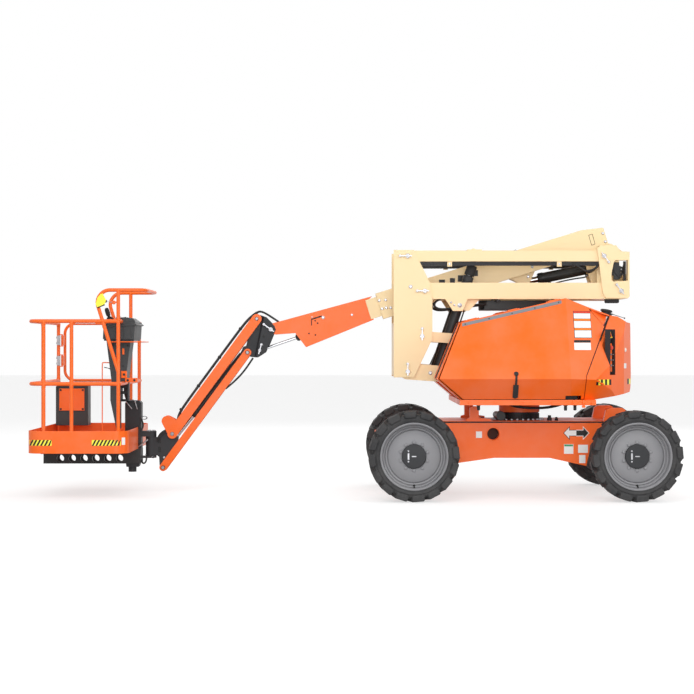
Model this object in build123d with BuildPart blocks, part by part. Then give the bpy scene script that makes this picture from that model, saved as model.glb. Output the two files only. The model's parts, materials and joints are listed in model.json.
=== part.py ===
"""Articulating boom lift: wheeled chassis, slewing turntable, folding tower, telescopic boom, jib and platform.

Frame: millimetres, +Z up, -X towards the platform, floor at Z = 0, origin under the middle of the stowed
machine. Every piece is placed from the slew axis and from the pins of the folding linkage.
"""
from build123d import *
from math import acos, atan2, cos, degrees, hypot, radians, sin
import os

os.makedirs("parts", exist_ok=True)

# ---------------------------------------------------------------- driving dimensions
# Wheels and axles
WHEEL_RADIUS = 365
TYRE_WIDTH = 250
OVERALL_WIDTH = 1930
WHEELBASE = 1781
SLEW_TO_STEER_AXLE = 866
RIM_RADIUS = 262
RIM_WALL = 8
RIM_DISC_RECESS = 75
HUB_RADIUS = 98
SPINDLE_RADIUS = 40
LUG_COUNT = 16
LUG_HALF_LENGTH = 35
LUG_HEIGHT = 24
KINGPIN_FROM_WHEEL = 200
KINGPIN_RADIUS = 18
STEER_ARM = 150

# Chassis and slew bearing
CHASSIS_WIDTH = 720
CHASSIS_TOP = 624
CHASSIS_FRONT_FLOOR = 440
SLEW_RING_RADIUS = 178
SLEW_RING_TOP = 688
DECK_FLOOR = 768
DECK_TOP = 811
TAIL_RADIUS = 955

# Folding tower: pins from the slew axis, X then Z
FOOT_PIN = (686, 920)
LINK_OFFSET = (120, 294)
TOWER_ARM_LENGTH = 1634
LOWER_SLOPE = 4.0
UPRIGHT_HEIGHT = 963
UPPER_LINK_OFFSET = (143, -291)
CHEEK_INSIDE = 297
CHEEK_THICKNESS = 16
ARM_OUTSIDE = 295
ARM_WIDTH = 50
TOWER_PIN_RADIUS = 25
TOWER_CYLINDER_FOOT = 238
TOWER_CYLINDER_HEAD = (559, -37)
TOWER_CYLINDER_Y = 195
TOWER_LIFT = 70

# Main boom, in its own line: S runs along it from the pivot, V is square to it
BOOM_PIVOT_OFFSET = (73, 55)
BOOM_SLOPE = 17.3
BOOM_LENGTH = 1990
BOOM_WIDTH = 160
BOOM_FLOOR = 22
BOOM_ROOF = 235
BOOM_WALL = 8
BOOM_LIFT = 90
BOOM_CHEEK_INSIDE = 86
LIFT_FOOT_OFFSET = (-130, -142)
LIFT_EYE = (743, -39)
TELESCOPE = 1220
FLY_HALF_WIDTH = 62
FLY_FLOOR = 45
FLY_ROOF = 213
JIB_PIVOT = (2927, 216)
LEVEL_FOOT = (2340, 95)

# Jib: offsets from the pivot on the fly's nose
JIB_TOP_PIN = (-119, 89)
JIB_LINK_OFFSET = (-79, -285)
JIB_LENGTH = 1209
JIB_SLOPE = 53.7
JIB_LOWEST = 60
JIB_HIGHEST = 84
LEVEL_PIN = (-93, -178)
JIB_CYLINDER_FOOT = (-214, -172)
JIB_CYLINDER_HEAD = (20, -42)
ROTATOR_REACH = 186

# Platform
PLATFORM_GAP = 103
PLATFORM_DEPTH = 816
PLATFORM_WIDTH = 1520
PLATFORM_FLOOR = 378
TOE_BOARD = 182
TOP_RAIL = 1447
MID_RAIL = 940
RAIL_RADIUS = 16
CORNER_RADIUS = 110

# Fits and running gaps
PIN_FIT = 0.06
SEAT_GAP = 0.3
RUNNING_GAP = 5


# ---------------------------------------------------------------- the linkage's pins
def shift(point, offset):
    """A point in the XZ plane moved by an offset."""
    return (point[0] + offset[0], point[1] + offset[1])


def leftward(length, slope):
    """The offset of a run towards -X that falls by the slope, in degrees."""
    return (-length * cos(radians(slope)), -length * sin(radians(slope)))


def boom_offset(s, v):
    """An offset in the boom's own line turned into X and Z."""
    c, n = cos(radians(BOOM_SLOPE)), sin(radians(BOOM_SLOPE))
    return (-s * c - v * n, -s * n + v * c)


def linkage(slew_x):
    """Every pin of the stowed machine, from the slew axis outwards."""
    foot_low = (slew_x + FOOT_PIN[0], FOOT_PIN[1])
    foot_high = shift(foot_low, LINK_OFFSET)
    upright_low = shift(foot_low, leftward(TOWER_ARM_LENGTH, -LOWER_SLOPE))
    upright_mid = shift(upright_low, LINK_OFFSET)
    upright_top = shift(upright_low, (0, UPRIGHT_HEIGHT))
    upright_next = shift(upright_top, UPPER_LINK_OFFSET)
    knuckle_top = shift(upright_top, (TOWER_ARM_LENGTH, 0))
    knuckle_low = shift(upright_next, (TOWER_ARM_LENGTH, 0))
    boom = shift(knuckle_top, BOOM_PIVOT_OFFSET)
    jib = shift(boom, boom_offset(*JIB_PIVOT))
    jib_top = shift(jib, JIB_TOP_PIN)
    jib_low = shift(jib_top, JIB_LINK_OFFSET)
    end_top = shift(jib_top, leftward(JIB_LENGTH, JIB_SLOPE))
    end_low = shift(jib_low, leftward(JIB_LENGTH, JIB_SLOPE))
    rotator = (end_top[0] - ROTATOR_REACH, end_top[1])
    return dict(
        foot_low=foot_low, foot_high=foot_high, upright_low=upright_low, upright_mid=upright_mid,
        upright_top=upright_top, upright_next=upright_next, knuckle_top=knuckle_top, knuckle_low=knuckle_low,
        boom=boom, jib=jib, jib_top=jib_top, jib_low=jib_low, end_top=end_top, end_low=end_low, rotator=rotator,
    )


FRONT_END = SLEW_TO_STEER_AXLE + WHEEL_RADIUS
PLATFORM_END = linkage(0)["rotator"][0] - PLATFORM_GAP - PLATFORM_DEPTH
SLEW_X = -(FRONT_END + PLATFORM_END) / 2
PINS = linkage(SLEW_X)
STEER_X = SLEW_X + SLEW_TO_STEER_AXLE
DRIVE_X = STEER_X - WHEELBASE
WHEEL_Y = (OVERALL_WIDTH - TYRE_WIDTH) / 2
KINGPIN_Y = WHEEL_Y - KINGPIN_FROM_WHEEL
CHASSIS_Y = CHASSIS_WIDTH / 2
CHEEK_OUTSIDE = CHEEK_INSIDE + CHEEK_THICKNESS
ARM_INSIDE = ARM_OUTSIDE - ARM_WIDTH


# ---------------------------------------------------------------- shapes used by many pieces
def slab(points, y_low, y_high, mode=Mode.ADD):
    """A flat plate: an outline in X and Z between two Y faces."""
    with BuildSketch(Plane.XZ.offset(-y_high)) as outline:
        with BuildLine():
            Polyline(*points, close=True)
        make_face()
    extrude(outline.sketch, amount=y_high - y_low, mode=mode)


def disc(centre, radius, y_low, y_high, mode=Mode.ADD):
    """A round bar or hole along Y."""
    with BuildSketch(Plane.XZ.offset(-y_high)) as outline:
        with Locations(centre):
            Circle(radius)
    extrude(outline.sketch, amount=y_high - y_low, mode=mode)


def strap(rounds, y_low, y_high, mode=Mode.ADD):
    """A plate drawn tightly round circles, each (centre, radius)."""
    with BuildSketch(Plane.XZ.offset(-y_high)) as outline:
        for centre, radius in rounds:
            with Locations(centre):
                Circle(radius)
        make_hull()
    extrude(outline.sketch, amount=y_high - y_low, mode=mode)


def block(x, y, z, mode=Mode.ADD):
    """A box given by its low and high X, Y and Z."""
    with Locations(((x[0] + x[1]) / 2, (y[0] + y[1]) / 2, (z[0] + z[1]) / 2)):
        Box(x[1] - x[0], y[1] - y[0], z[1] - z[0], mode=mode)


def rod(start, end, radius, mode=Mode.ADD):
    """A round bar between two points in space."""
    start, end = Vector(*start), Vector(*end)
    along = end - start
    with BuildSketch(Plane(origin=start, z_dir=along)) as section:
        Circle(radius)
    extrude(section.sketch, amount=along.length, mode=mode)


def tube_run(points, radius, fillet_radius, close=False):
    """A bent rail: a round bar swept along straight runs joined by arcs."""
    with BuildLine() as path:
        FilletPolyline(*points, radius=fillet_radius, close=close)
    start = path.line @ 0
    with BuildSketch(Plane(origin=start, z_dir=path.line % 0)) as section:
        Circle(radius)
    sweep(section.sketch, path=path.line)


def boom_line(y):
    """The boom's own plane at a Y: local X is S, local Y is V, and extruding goes towards +Y."""
    c, n = cos(radians(BOOM_SLOPE)), sin(radians(BOOM_SLOPE))
    return Plane(origin=(PINS["boom"][0], y, PINS["boom"][1]), x_dir=(-c, 0, -n), z_dir=(0, 1, 0))


def boom_slab(points, y_low, y_high, mode=Mode.ADD):
    """A plate drawn in S and V between two Y faces."""
    with BuildSketch(boom_line(y_low)) as outline:
        with BuildLine():
            Polyline(*points, close=True)
        make_face()
    extrude(outline.sketch, amount=y_high - y_low, mode=mode)


def boom_strap(rounds, y_low, y_high, mode=Mode.ADD):
    """A plate drawn tightly round circles in S and V."""
    with BuildSketch(boom_line(y_low)) as outline:
        for centre, radius in rounds:
            with Locations(centre):
                Circle(radius)
        make_hull()
    extrude(outline.sketch, amount=y_high - y_low, mode=mode)


def keep(piece, name):
    """Labels a finished piece and writes it."""
    piece.part.label = name
    export_step(piece.part, f"parts/{name}.step")


# ---------------------------------------------------------------- wheels
SIDES = (("near", -1), ("far", 1))
TYRE_HALF = TYRE_WIDTH / 2


def wheel_plane(x, y, side):
    """A wheel's plane: its normal points out of the machine."""
    return Plane(origin=(x, y, WHEEL_RADIUS), x_dir=(1, 0, 0), z_dir=(0, side, 0))


def turned(plane, profile):
    """Turns a closed profile of (radius, distance out) points about a wheel's axis."""
    axis = Axis(plane.origin, plane.z_dir)
    section = Plane(origin=plane.origin, x_dir=plane.x_dir, z_dir=plane.x_dir.cross(plane.z_dir))
    with BuildSketch(section) as half:
        with BuildLine():
            Polyline(*profile, close=True)
        make_face()
    revolve(half.sketch, axis=axis)


def tyre_profile():
    """Half section of the tyre's carcass: bead, wall, shoulder and crown."""
    base = WHEEL_RADIUS - LUG_HEIGHT
    wall = TYRE_HALF - 7
    bead = RIM_RADIUS + SEAT_GAP
    return [
        (bead, -wall + 22), (bead + 26, -wall), (base - 38, -wall), (base - 8, -wall + 14), (base, -wall + 34),
        (base, wall - 34), (base - 8, wall - 14), (base - 38, wall), (bead + 26, wall), (bead, wall - 22),
    ]


WHEEL = wheel_plane(0, 0, -1)
DISC_OUT = TYRE_HALF - RIM_DISC_RECESS
with BuildPart() as tyre:
    turned(WHEEL, tyre_profile())
    with BuildPart(mode=Mode.PRIVATE) as lug:
        with BuildSketch(Plane.XZ.offset(12)) as lug_side:
            with Locations((0, -WHEEL_RADIUS + (LUG_HEIGHT + 22) / 2)):
                Rectangle(2 * LUG_HALF_LENGTH, LUG_HEIGHT + 22)
        extrude(lug_side.sketch, amount=TYRE_HALF - 12)
    for index in range(LUG_COUNT):
        with Locations(Location((0, 0, WHEEL_RADIUS), (0, index * 360 / LUG_COUNT, 0))):
            add(lug.part)
        with Locations(Location((0, 0, WHEEL_RADIUS), (0, (index + 0.5) * 360 / LUG_COUNT, 180))):
            add(lug.part)

with BuildPart() as rim:
    turned(WHEEL, [
        (0, DISC_OUT), (HUB_RADIUS, DISC_OUT), (HUB_RADIUS + 6, DISC_OUT - 12),
        (RIM_RADIUS - RIM_WALL - 40, DISC_OUT - 12), (RIM_RADIUS - RIM_WALL, DISC_OUT + 18),
        (RIM_RADIUS - RIM_WALL, TYRE_HALF - 14), (RIM_RADIUS + 6, TYRE_HALF - 6),
        (RIM_RADIUS + 10, TYRE_HALF - 14), (RIM_RADIUS, TYRE_HALF - 26),
        (RIM_RADIUS, 30 - TYRE_HALF), (RIM_RADIUS - RIM_WALL, 30 - TYRE_HALF),
        (RIM_RADIUS - RIM_WALL, DISC_OUT), (RIM_RADIUS - RIM_WALL - 44, DISC_OUT - 22),
        (HUB_RADIUS, DISC_OUT - 22), (HUB_RADIUS, -60), (0, -60),
    ])
    with BuildSketch(Plane(origin=(0, 60, WHEEL_RADIUS), z_dir=(0, -1, 0))) as bore:
        Circle(SPINDLE_RADIUS + PIN_FIT)
    extrude(bore.sketch, amount=62, mode=Mode.SUBTRACT)

for place, x in (("drive", DRIVE_X), ("steer", STEER_X)):
    for side_name, side in SIDES:
        for piece, name in ((tyre, "tyre"), (rim, "wheel")):
            with BuildPart() as placed:
                with Locations(Location((x, side * WHEEL_Y, 0), (0, 0, 90 + 90 * side))):
                    add(piece.part)
            keep(placed, f"{name}_{place}_{side_name}")

# ---------------------------------------------------------------- chassis and axles
CHASSIS_OUTLINE = [
    (DRIVE_X - 215, 350), (DRIVE_X - 215, 590), (DRIVE_X - 170, CHASSIS_TOP), (STEER_X + 150, CHASSIS_TOP),
    (STEER_X + 205, 590), (STEER_X + 205, CHASSIS_FRONT_FLOOR), (STEER_X - 290, CHASSIS_FRONT_FLOOR),
    (STEER_X - 330, 251), (SLEW_X + 230, 318), (SLEW_X - 230, 318), (DRIVE_X + 390, 276), (DRIVE_X - 150, 276),
]
LASHING_HOLE = 20
LASHING_REACH, LASHING_FLOOR = 42, 500
ACCESS_HOLE = (SLEW_X - 237, 517)
POST_TOP = 745
with BuildPart() as chassis:
    slab(CHASSIS_OUTLINE, -CHASSIS_Y, CHASSIS_Y)
    for side in (-1, 1):
        disc(ACCESS_HOLE, 50, *sorted((side * (CHASSIS_Y - 70), side * CHASSIS_Y)), Mode.SUBTRACT)
        slab(
            [(SLEW_X - 462, CHASSIS_TOP), (SLEW_X - 462, 640), (SLEW_X - 430, 650), (SLEW_X - 430, POST_TOP - 15),
             (SLEW_X - 415, POST_TOP), (SLEW_X - 370, POST_TOP), (SLEW_X - 355, POST_TOP - 15), (SLEW_X - 355, 650),
             (SLEW_X - 256, 640), (SLEW_X - 256, CHASSIS_TOP)],
            *sorted((side * 290, side * 350)),
        )
        slab(
            [(STEER_X - 186, CHASSIS_TOP), (STEER_X - 166, 715), (STEER_X - 140, 732), (STEER_X - 30, 732),
             (STEER_X - 4, 715), (STEER_X + 6, CHASSIS_TOP)],
            *sorted((side * 300, side * 350)),
        )
    for x, sign in ((DRIVE_X - 215, -1), (STEER_X + 205, 1)):
        for y in (-260, 260):
            with BuildSketch(Plane.XY.offset(LASHING_FLOOR)) as lashing_lug:
                with Locations((x + sign * LASHING_REACH, y)):
                    Circle(38)
                with Locations((x - sign * 5, y)):
                    Rectangle(10, 120)
                make_hull()
                with Locations((x + sign * LASHING_REACH, y)):
                    Circle(LASHING_HOLE, mode=Mode.SUBTRACT)
            extrude(lashing_lug.sketch, amount=20)
keep(chassis, "chassis")

HOUSING_RADIUS = 95
HOUSING_END = WHEEL_Y - 60 - RUNNING_GAP
with BuildPart() as drive_axle:
    for side in (-1, 1):
        low, high = sorted((side * CHASSIS_Y, side * (WHEEL_Y - 150)))
        slab([(DRIVE_X - 90, 290), (DRIVE_X + 90, 290), (DRIVE_X + 90, 440), (DRIVE_X - 90, 440)], low, high)
        disc((DRIVE_X, WHEEL_RADIUS), HOUSING_RADIUS, *sorted((side * (WHEEL_Y - 150), side * HOUSING_END)))
        disc((DRIVE_X, WHEEL_RADIUS), SPINDLE_RADIUS, *sorted((side * HOUSING_END, side * WHEEL_Y)))
keep(drive_axle, "drive_axle")

EAR_RADIUS = 45
ARM_FLOOR, ARM_THICKNESS = 300, 16
with BuildPart() as steer_axle:
    slab(
        [(STEER_X - 70, 300), (STEER_X + 70, 300), (STEER_X + 70, CHASSIS_FRONT_FLOOR),
         (STEER_X - 70, CHASSIS_FRONT_FLOOR)],
        -(KINGPIN_Y - 75), KINGPIN_Y - 75,
    )
    for side in (-1, 1):
        block((STEER_X - 70, STEER_X + 70), sorted((side * (KINGPIN_Y - 95), side * (KINGPIN_Y - 75))), (235, 495))
        for z in (235, 465):
            with BuildSketch(Plane.XY.offset(z)) as ear:
                with Locations((STEER_X, side * KINGPIN_Y)):
                    Circle(EAR_RADIUS)
                with Locations((STEER_X, side * (KINGPIN_Y - 85))):
                    Rectangle(140, 18)
                make_hull()
                with Locations((STEER_X, side * KINGPIN_Y)):
                    Circle(KINGPIN_RADIUS + PIN_FIT, mode=Mode.SUBTRACT)
            extrude(ear.sketch, amount=30)
        # Room for the steering arm at full lock
        block((STEER_X - 75, STEER_X - 20), sorted((side * (KINGPIN_Y - 130), side * (KINGPIN_Y - 70))),
              (ARM_FLOOR - 6, ARM_FLOOR + ARM_THICKNESS + 6), Mode.SUBTRACT)
keep(steer_axle, "steer_axle")

for side_name, side in SIDES:
    with BuildPart() as steering_knuckle:
        rod((STEER_X, side * KINGPIN_Y, 270), (STEER_X, side * KINGPIN_Y, 460), 42)
        rod((STEER_X, side * KINGPIN_Y, 228), (STEER_X, side * KINGPIN_Y, 502), KINGPIN_RADIUS)
        disc((STEER_X, WHEEL_RADIUS), 60, *sorted((side * KINGPIN_Y, side * (KINGPIN_Y + 66))))
        disc((STEER_X, WHEEL_RADIUS), HOUSING_RADIUS, *sorted((side * (KINGPIN_Y + 60), side * HOUSING_END)))
        disc((STEER_X, WHEEL_RADIUS), SPINDLE_RADIUS, *sorted((side * HOUSING_END, side * WHEEL_Y)))
        with BuildSketch(Plane.XY.offset(ARM_FLOOR)) as steering_arm:
            with Locations((STEER_X, side * KINGPIN_Y)):
                Circle(38)
            with Locations((STEER_X - STEER_ARM, side * (KINGPIN_Y - 20))):
                Circle(24)
            make_hull()
        extrude(steering_arm.sketch, amount=ARM_THICKNESS)
    keep(steering_knuckle, f"steering_knuckle_{side_name}")

with BuildPart() as tie_rod:
    tie_z = ARM_FLOOR + ARM_THICKNESS + SEAT_GAP + 16
    for side in (-1, 1):
        with BuildSketch(Plane.XY.offset(tie_z - 16)) as eye:
            with Locations((STEER_X - STEER_ARM, side * (KINGPIN_Y - 20))):
                Circle(24)
        extrude(eye.sketch, amount=32)
    rod((STEER_X - STEER_ARM, -KINGPIN_Y + 20, tie_z), (STEER_X - STEER_ARM, KINGPIN_Y - 20, tie_z), 15)
keep(tie_rod, "tie_rod")

SLEW_BORE = 60
WORM_RADIUS = 30
with BuildPart() as slew_ring:
    with BuildSketch(Plane.XY.offset(CHASSIS_TOP)) as ring:
        with Locations((SLEW_X, 0)):
            Circle(SLEW_RING_RADIUS)
            Circle(SLEW_BORE + PIN_FIT, mode=Mode.SUBTRACT)
    extrude(ring.sketch, amount=SLEW_RING_TOP - CHASSIS_TOP)
    worm_x, worm_z = SLEW_X - SLEW_RING_RADIUS + 10, CHASSIS_TOP + WORM_RADIUS + 4
    rod((worm_x, -180, worm_z), (worm_x, 150, worm_z), WORM_RADIUS)
    rod((worm_x, -300, worm_z + 6), (worm_x, -180, worm_z + 6), WORM_RADIUS + 8)
    block((worm_x - 25, worm_x + 25), (-120, 120), (CHASSIS_TOP, worm_z))
keep(slew_ring, "slew_ring")

# ---------------------------------------------------------------- turntable
DECK_LEFT = SLEW_X - 540
DECK_RIGHT = SLEW_X + 560
DECK_HALF_WIDTH = 750

# The enclosures' outer form on the near side: facets that meet at a crease, at the ridge and at the tail
HOOD_TOP_Y = 600
HOOD_REAR_Y = 540
HOOD_WALL = 6
HOOD_FLOOR = DECK_TOP + RUNNING_GAP
CREASE_FRONT = (SLEW_X + 342, -880, 982)
CREASE_TAIL = (SLEW_X + 552, -779, 975)
CREASE_LOW = (SLEW_X + 359, -752, 811)
RIDGE_APEX = (SLEW_X + 333, -HOOD_TOP_Y, 1636)
RIDGE_FRONT = (SLEW_X - 541, -HOOD_TOP_Y, 1434)
FACETS = (
    (CREASE_FRONT, (CREASE_FRONT[0] - 800, -880, 982), RIDGE_APEX),
    (CREASE_FRONT, (CREASE_FRONT[0] - 800, -880, 982), CREASE_LOW),
    (CREASE_FRONT, CREASE_TAIL, RIDGE_APEX),
    (CREASE_FRONT, CREASE_TAIL, CREASE_LOW),
)
FORM_MIDDLE = Vector(SLEW_X, -400, 1000)
FRONT_EDGE = [(-532, DECK_TOP), (-730, 982), (-541, 1434)]
TAIL_EDGE = [(700, 1500), (470, 1003), (465, DECK_TOP)]
FRAME_BAND = 8
BAND_GAP = 10
INNER_WALL_Y = 345


def ridge_z(x):
    """The height of the sloping ridge at an X from the slew axis."""
    slope = (RIDGE_APEX[2] - RIDGE_FRONT[2]) / (RIDGE_APEX[0] - RIDGE_FRONT[0])
    return RIDGE_FRONT[2] + (x + SLEW_X - RIDGE_FRONT[0]) * slope


def enclosure_form(outline, inset, inner_y):
    """The near enclosure between a side outline, an inner Y and the facets, all but the Y moved in by a wall."""
    with BuildPart(mode=Mode.PRIVATE) as form:
        with BuildSketch(Plane.XZ.offset(inner_y)) as side_view:
            with BuildLine():
                Polyline(*[(SLEW_X + x, z) for x, z in outline], close=True)
            make_face()
            if inset:
                offset(amount=-inset, kind=Kind.INTERSECTION)
        extrude(side_view.sketch, amount=900 - inner_y)
        for corner, second, third in FACETS:
            first = Vector(*corner)
            normal = (Vector(*second) - first).cross(Vector(*third) - first).normalized()
            if normal.dot(FORM_MIDDLE - first) > 0:
                normal = -normal
            split(bisect_by=Plane(origin=first - normal * inset, z_dir=normal), keep=Keep.BOTTOM)
    return form.part


def moved_on(points, amount):
    """Side view points moved along X, with those on the ridge kept on it."""
    return [(x + amount, ridge_z(x + amount) if z == RIDGE_FRONT[2] else z) for x, z in points]


band = enclosure_form(FRONT_EDGE + moved_on(FRONT_EDGE, FRAME_BAND)[::-1], 0, INNER_WALL_Y)
HINGE_PIN, HINGE_BARREL, HINGE_LENGTH = 5, 11, 80
HINGE_STATIONS = (-430, -100, 230)
ridge_run = (Vector(*RIDGE_APEX) - Vector(*RIDGE_FRONT)).normalized()


def ridge_point(x):
    """A point of the near hinge line at an X from the slew axis."""
    return Vector(SLEW_X + x, -HOOD_TOP_Y, ridge_z(x))


RISER = [(-300, DECK_TOP), (-300, 860), (20, 1290), (158, 1290), (172, 1230), (172, 858), (-126, DECK_TOP)]
ROOF = 10
with BuildPart() as turntable:
    with BuildSketch(Plane.XY.offset(DECK_FLOOR)) as deck_plan:
        with Locations((SLEW_X, 0)):
            Circle(TAIL_RADIUS)
        with Locations(((DECK_LEFT + DECK_RIGHT) / 2, 0)):
            Rectangle(DECK_RIGHT - DECK_LEFT, 2 * DECK_HALF_WIDTH, mode=Mode.INTERSECT)
    extrude(deck_plan.sketch, amount=DECK_TOP - DECK_FLOOR)
    rod((SLEW_X + 14, 0, SLEW_RING_TOP + SEAT_GAP), (SLEW_X + 14, 0, DECK_FLOOR), SLEW_RING_RADIUS - 6)
    rod((SLEW_X, 0, CHASSIS_TOP + 8), (SLEW_X, 0, DECK_FLOOR), SLEW_BORE)
    foot_x = PINS["foot_low"][0]
    for side in (-1, 1):
        inside, outside = sorted((side * CHEEK_INSIDE, side * CHEEK_OUTSIDE))
        slab([(foot_x + x, z) for x, z in RISER], inside, outside)
        for pin in ("foot_low", "foot_high"):
            disc(PINS[pin], TOWER_PIN_RADIUS, *sorted((side * (ARM_INSIDE - 4), side * (CHEEK_OUTSIDE + 6))))
keep(turntable, "turntable")

# Hood frames: front band, wall beside the tower, roof and the ears and pins of the hood's hinges
with BuildPart() as hood_frames:
    add(band)
    slab(
        [(SLEW_X + x, z) for x, z in [*moved_on(FRONT_EDGE, 5), (RIDGE_APEX[0] - SLEW_X, RIDGE_APEX[2]), *TAIL_EDGE]],
        -INNER_WALL_Y - HOOD_WALL, -INNER_WALL_Y,
    )
    roof_x = (FRONT_EDGE[2][0], RIDGE_APEX[0] - SLEW_X - RUNNING_GAP - 1)
    slab(
        [(SLEW_X + x, ridge_z(x) - drop) for x, drop in
         ((roof_x[0], 0), (roof_x[1], 0), (roof_x[1], ROOF), (roof_x[0], ROOF))],
        -HOOD_TOP_Y + 16, -INNER_WALL_Y,
    )
    roof_end = (SLEW_X + roof_x[1], ridge_z(roof_x[1]))
    slab(
        [roof_end, (RIDGE_APEX[0], RIDGE_APEX[2]), (SLEW_X + 700, 1500), (SLEW_X + 698, 1500 - ROOF),
         (roof_end[0], roof_end[1] - ROOF)],
        -HOOD_REAR_Y + RUNNING_GAP, -INNER_WALL_Y,
    )
    for station in HINGE_STATIONS:
        for end in (-1, 1):
            low, high = sorted((station + end * (HINGE_LENGTH / 2 + 2), station + end * (HINGE_LENGTH / 2 + 16)))
            slab(
                [(SLEW_X + x, ridge_z(x) + rise) for x, rise in ((low, 7), (high, 7), (high, -8), (low, -8))],
                -HOOD_TOP_Y - 6, -HOOD_TOP_Y + 20,
            )
        start = ridge_point(station) - ridge_run * (HINGE_LENGTH / 2 + 10)
        finish = ridge_point(station) + ridge_run * (HINGE_LENGTH / 2 + 10)
        rod(start, finish, HINGE_PIN)
    mirror(about=Plane.XZ)
keep(hood_frames, "hood_frames")

# Counterweight: the faceted tail, slotted for the tower's foot, with the ground control bay on the near side
TAIL_SIDE = [(706, 1500), (782, 1489), (859, 1445), (912, 1437), (945, 976), (905, 864), (560, DECK_TOP),
             (471, DECK_TOP), (476, 1003)]
TAIL_PLAN = [(400, 870), (552, 779), (700, 650), (830, 472), (915, 272), (948, 110)]
BAY_HEIGHT = 375
near_tail = enclosure_form(TAIL_SIDE, 0, 0)
with BuildPart() as counterweight:
    add(near_tail)
    mirror(about=Plane.XZ)
    with BuildSketch(Plane.XY.offset(DECK_TOP)) as tail_plan:
        with BuildLine():
            Polyline(
                *[(SLEW_X + x, -y) for x, y in TAIL_PLAN], *[(SLEW_X + x, y) for x, y in TAIL_PLAN[::-1]], close=True,
            )
        make_face()
    extrude(tail_plan.sketch, amount=900, mode=Mode.INTERSECT)
    block((SLEW_X + 460, SLEW_X + 880), (-CHEEK_OUTSIDE - 12, CHEEK_OUTSIDE + 12), (DECK_TOP, 1600), Mode.SUBTRACT)
    for side in (-1, 1):
        # Room for the hood's inner corner as it swings out
        slab(
            [(SLEW_X + 455, DECK_TOP), (SLEW_X + 482, DECK_TOP), (SLEW_X + 487, 1003), (SLEW_X + 722, 1510),
             (SLEW_X + 455, 1510)],
            *sorted((side * 300, side * (HOOD_TOP_Y + 12))), Mode.SUBTRACT,
        )
    with Locations(Plane(origin=(SLEW_X + 722, -636, 1197), x_dir=(130, 178, 0), z_dir=(0, 0, 1))):
        Box(90, 170, BAY_HEIGHT, mode=Mode.SUBTRACT)
keep(counterweight, "counterweight")

with BuildPart() as battery_packs:
    for side in (-1, 1):
        block((SLEW_X - 420, SLEW_X + 420), sorted((side * 400, side * 660)), (DECK_TOP, 1120))
keep(battery_packs, "battery_packs")

# Hoods: faceted shells, open below and inside, each hung on three barrels along the ridge
front = moved_on(FRONT_EDGE, FRAME_BAND + BAND_GAP)
front[0] = (front[0][0], HOOD_FLOOR)
apex = (RIDGE_APEX[0] - SLEW_X, RIDGE_APEX[2])
tail = [*TAIL_EDGE[:2], (TAIL_EDGE[2][0], HOOD_FLOOR)]
split_x = apex[0] + 10
ridge_half = [*front, apex, (split_x, 1632), (split_x, HOOD_FLOOR)]
tail_half = [apex, *tail, (apex[0], HOOD_FLOOR)]


hood_forms = [enclosure_form(ridge_half, 0, HOOD_TOP_Y), enclosure_form(tail_half, 0, HOOD_REAR_Y)]
void_front = [(x - 40, z) for x, z in front]
void_front[2] = (void_front[2][0], ridge_z(void_front[2][0]))
void_outline = [(x, z - 40 if z == HOOD_FLOOR else z) for x, z in [*void_front, apex, *tail]]
hood_void = enclosure_form(void_outline, HOOD_WALL, HOOD_REAR_Y - 40)
NOTCH = (310, 440, 845)
for side_name, side in SIDES:
    with BuildPart() as hood:
        for form in hood_forms:
            add(form)
        add(hood_void, mode=Mode.SUBTRACT)
        block((SLEW_X + NOTCH[0], SLEW_X + NOTCH[1]), (-900, -HOOD_TOP_Y), (HOOD_FLOOR - 10, NOTCH[2]), Mode.SUBTRACT)
        # The corner inside the hinge line dips as the hood swings out
        block((split_x + SLEW_X - 12, SLEW_X + 600), (-HOOD_TOP_Y, -HOOD_REAR_Y), (HOOD_FLOOR - 10, HOOD_FLOOR + 12), Mode.SUBTRACT)
        for station in HINGE_STATIONS:
            for end in (-1, 1):
                start = ridge_point(station) + ridge_run * (end * (HINGE_LENGTH / 2))
                rod(start, start + ridge_run * (end * 20), HINGE_BARREL + 3, Mode.SUBTRACT)
            start = ridge_point(station) - ridge_run * (HINGE_LENGTH / 2)
            finish = ridge_point(station) + ridge_run * (HINGE_LENGTH / 2)
            rod(start, finish, HINGE_BARREL)
            rod(start, finish, HINGE_PIN + PIN_FIT, Mode.SUBTRACT)
        if side == 1:
            mirror(about=Plane.XZ, mode=Mode.REPLACE)
    keep(hood, f"hood_{side_name}")

# ---------------------------------------------------------------- folding tower
def arm_pair(left, right, depth, ends, cross_tubes):
    """Two parallel box arms with round ends and bored pins, joined by cross tubes."""
    for side in (-1, 1):
        low, high = sorted((side * ARM_INSIDE, side * ARM_OUTSIDE))
        strap([(left, depth / 2), (right, depth / 2)], low, high)
    for point, radius in cross_tubes:
        disc(point, radius, -ARM_INSIDE, ARM_INSIDE)
    for side in (-1, 1):
        low, high = sorted((side * ARM_INSIDE, side * ARM_OUTSIDE))
        for pin in ends:
            disc(pin, TOWER_PIN_RADIUS + PIN_FIT, low, high, Mode.SUBTRACT)


def between(start, end, distance):
    """The point that lies a distance from one pin towards another."""
    length = hypot(end[0] - start[0], end[1] - start[1])
    return (start[0] + (end[0] - start[0]) * distance / length, start[1] + (end[1] - start[1]) * distance / length)


LOWER_ARM_DEPTH = 134
LOWER_LINK_DEPTH = 84
UPPER_ARM_DEPTH = 90
UPPER_LINK_DEPTH = 136
CYLINDER_FOOT = between(PINS["upright_low"], PINS["foot_low"], TOWER_CYLINDER_FOOT)
CYLINDER_HEAD = shift(PINS["upright_top"], TOWER_CYLINDER_HEAD)
CYLINDER_PIN = 20
CYLINDER_EYE = 30

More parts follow.
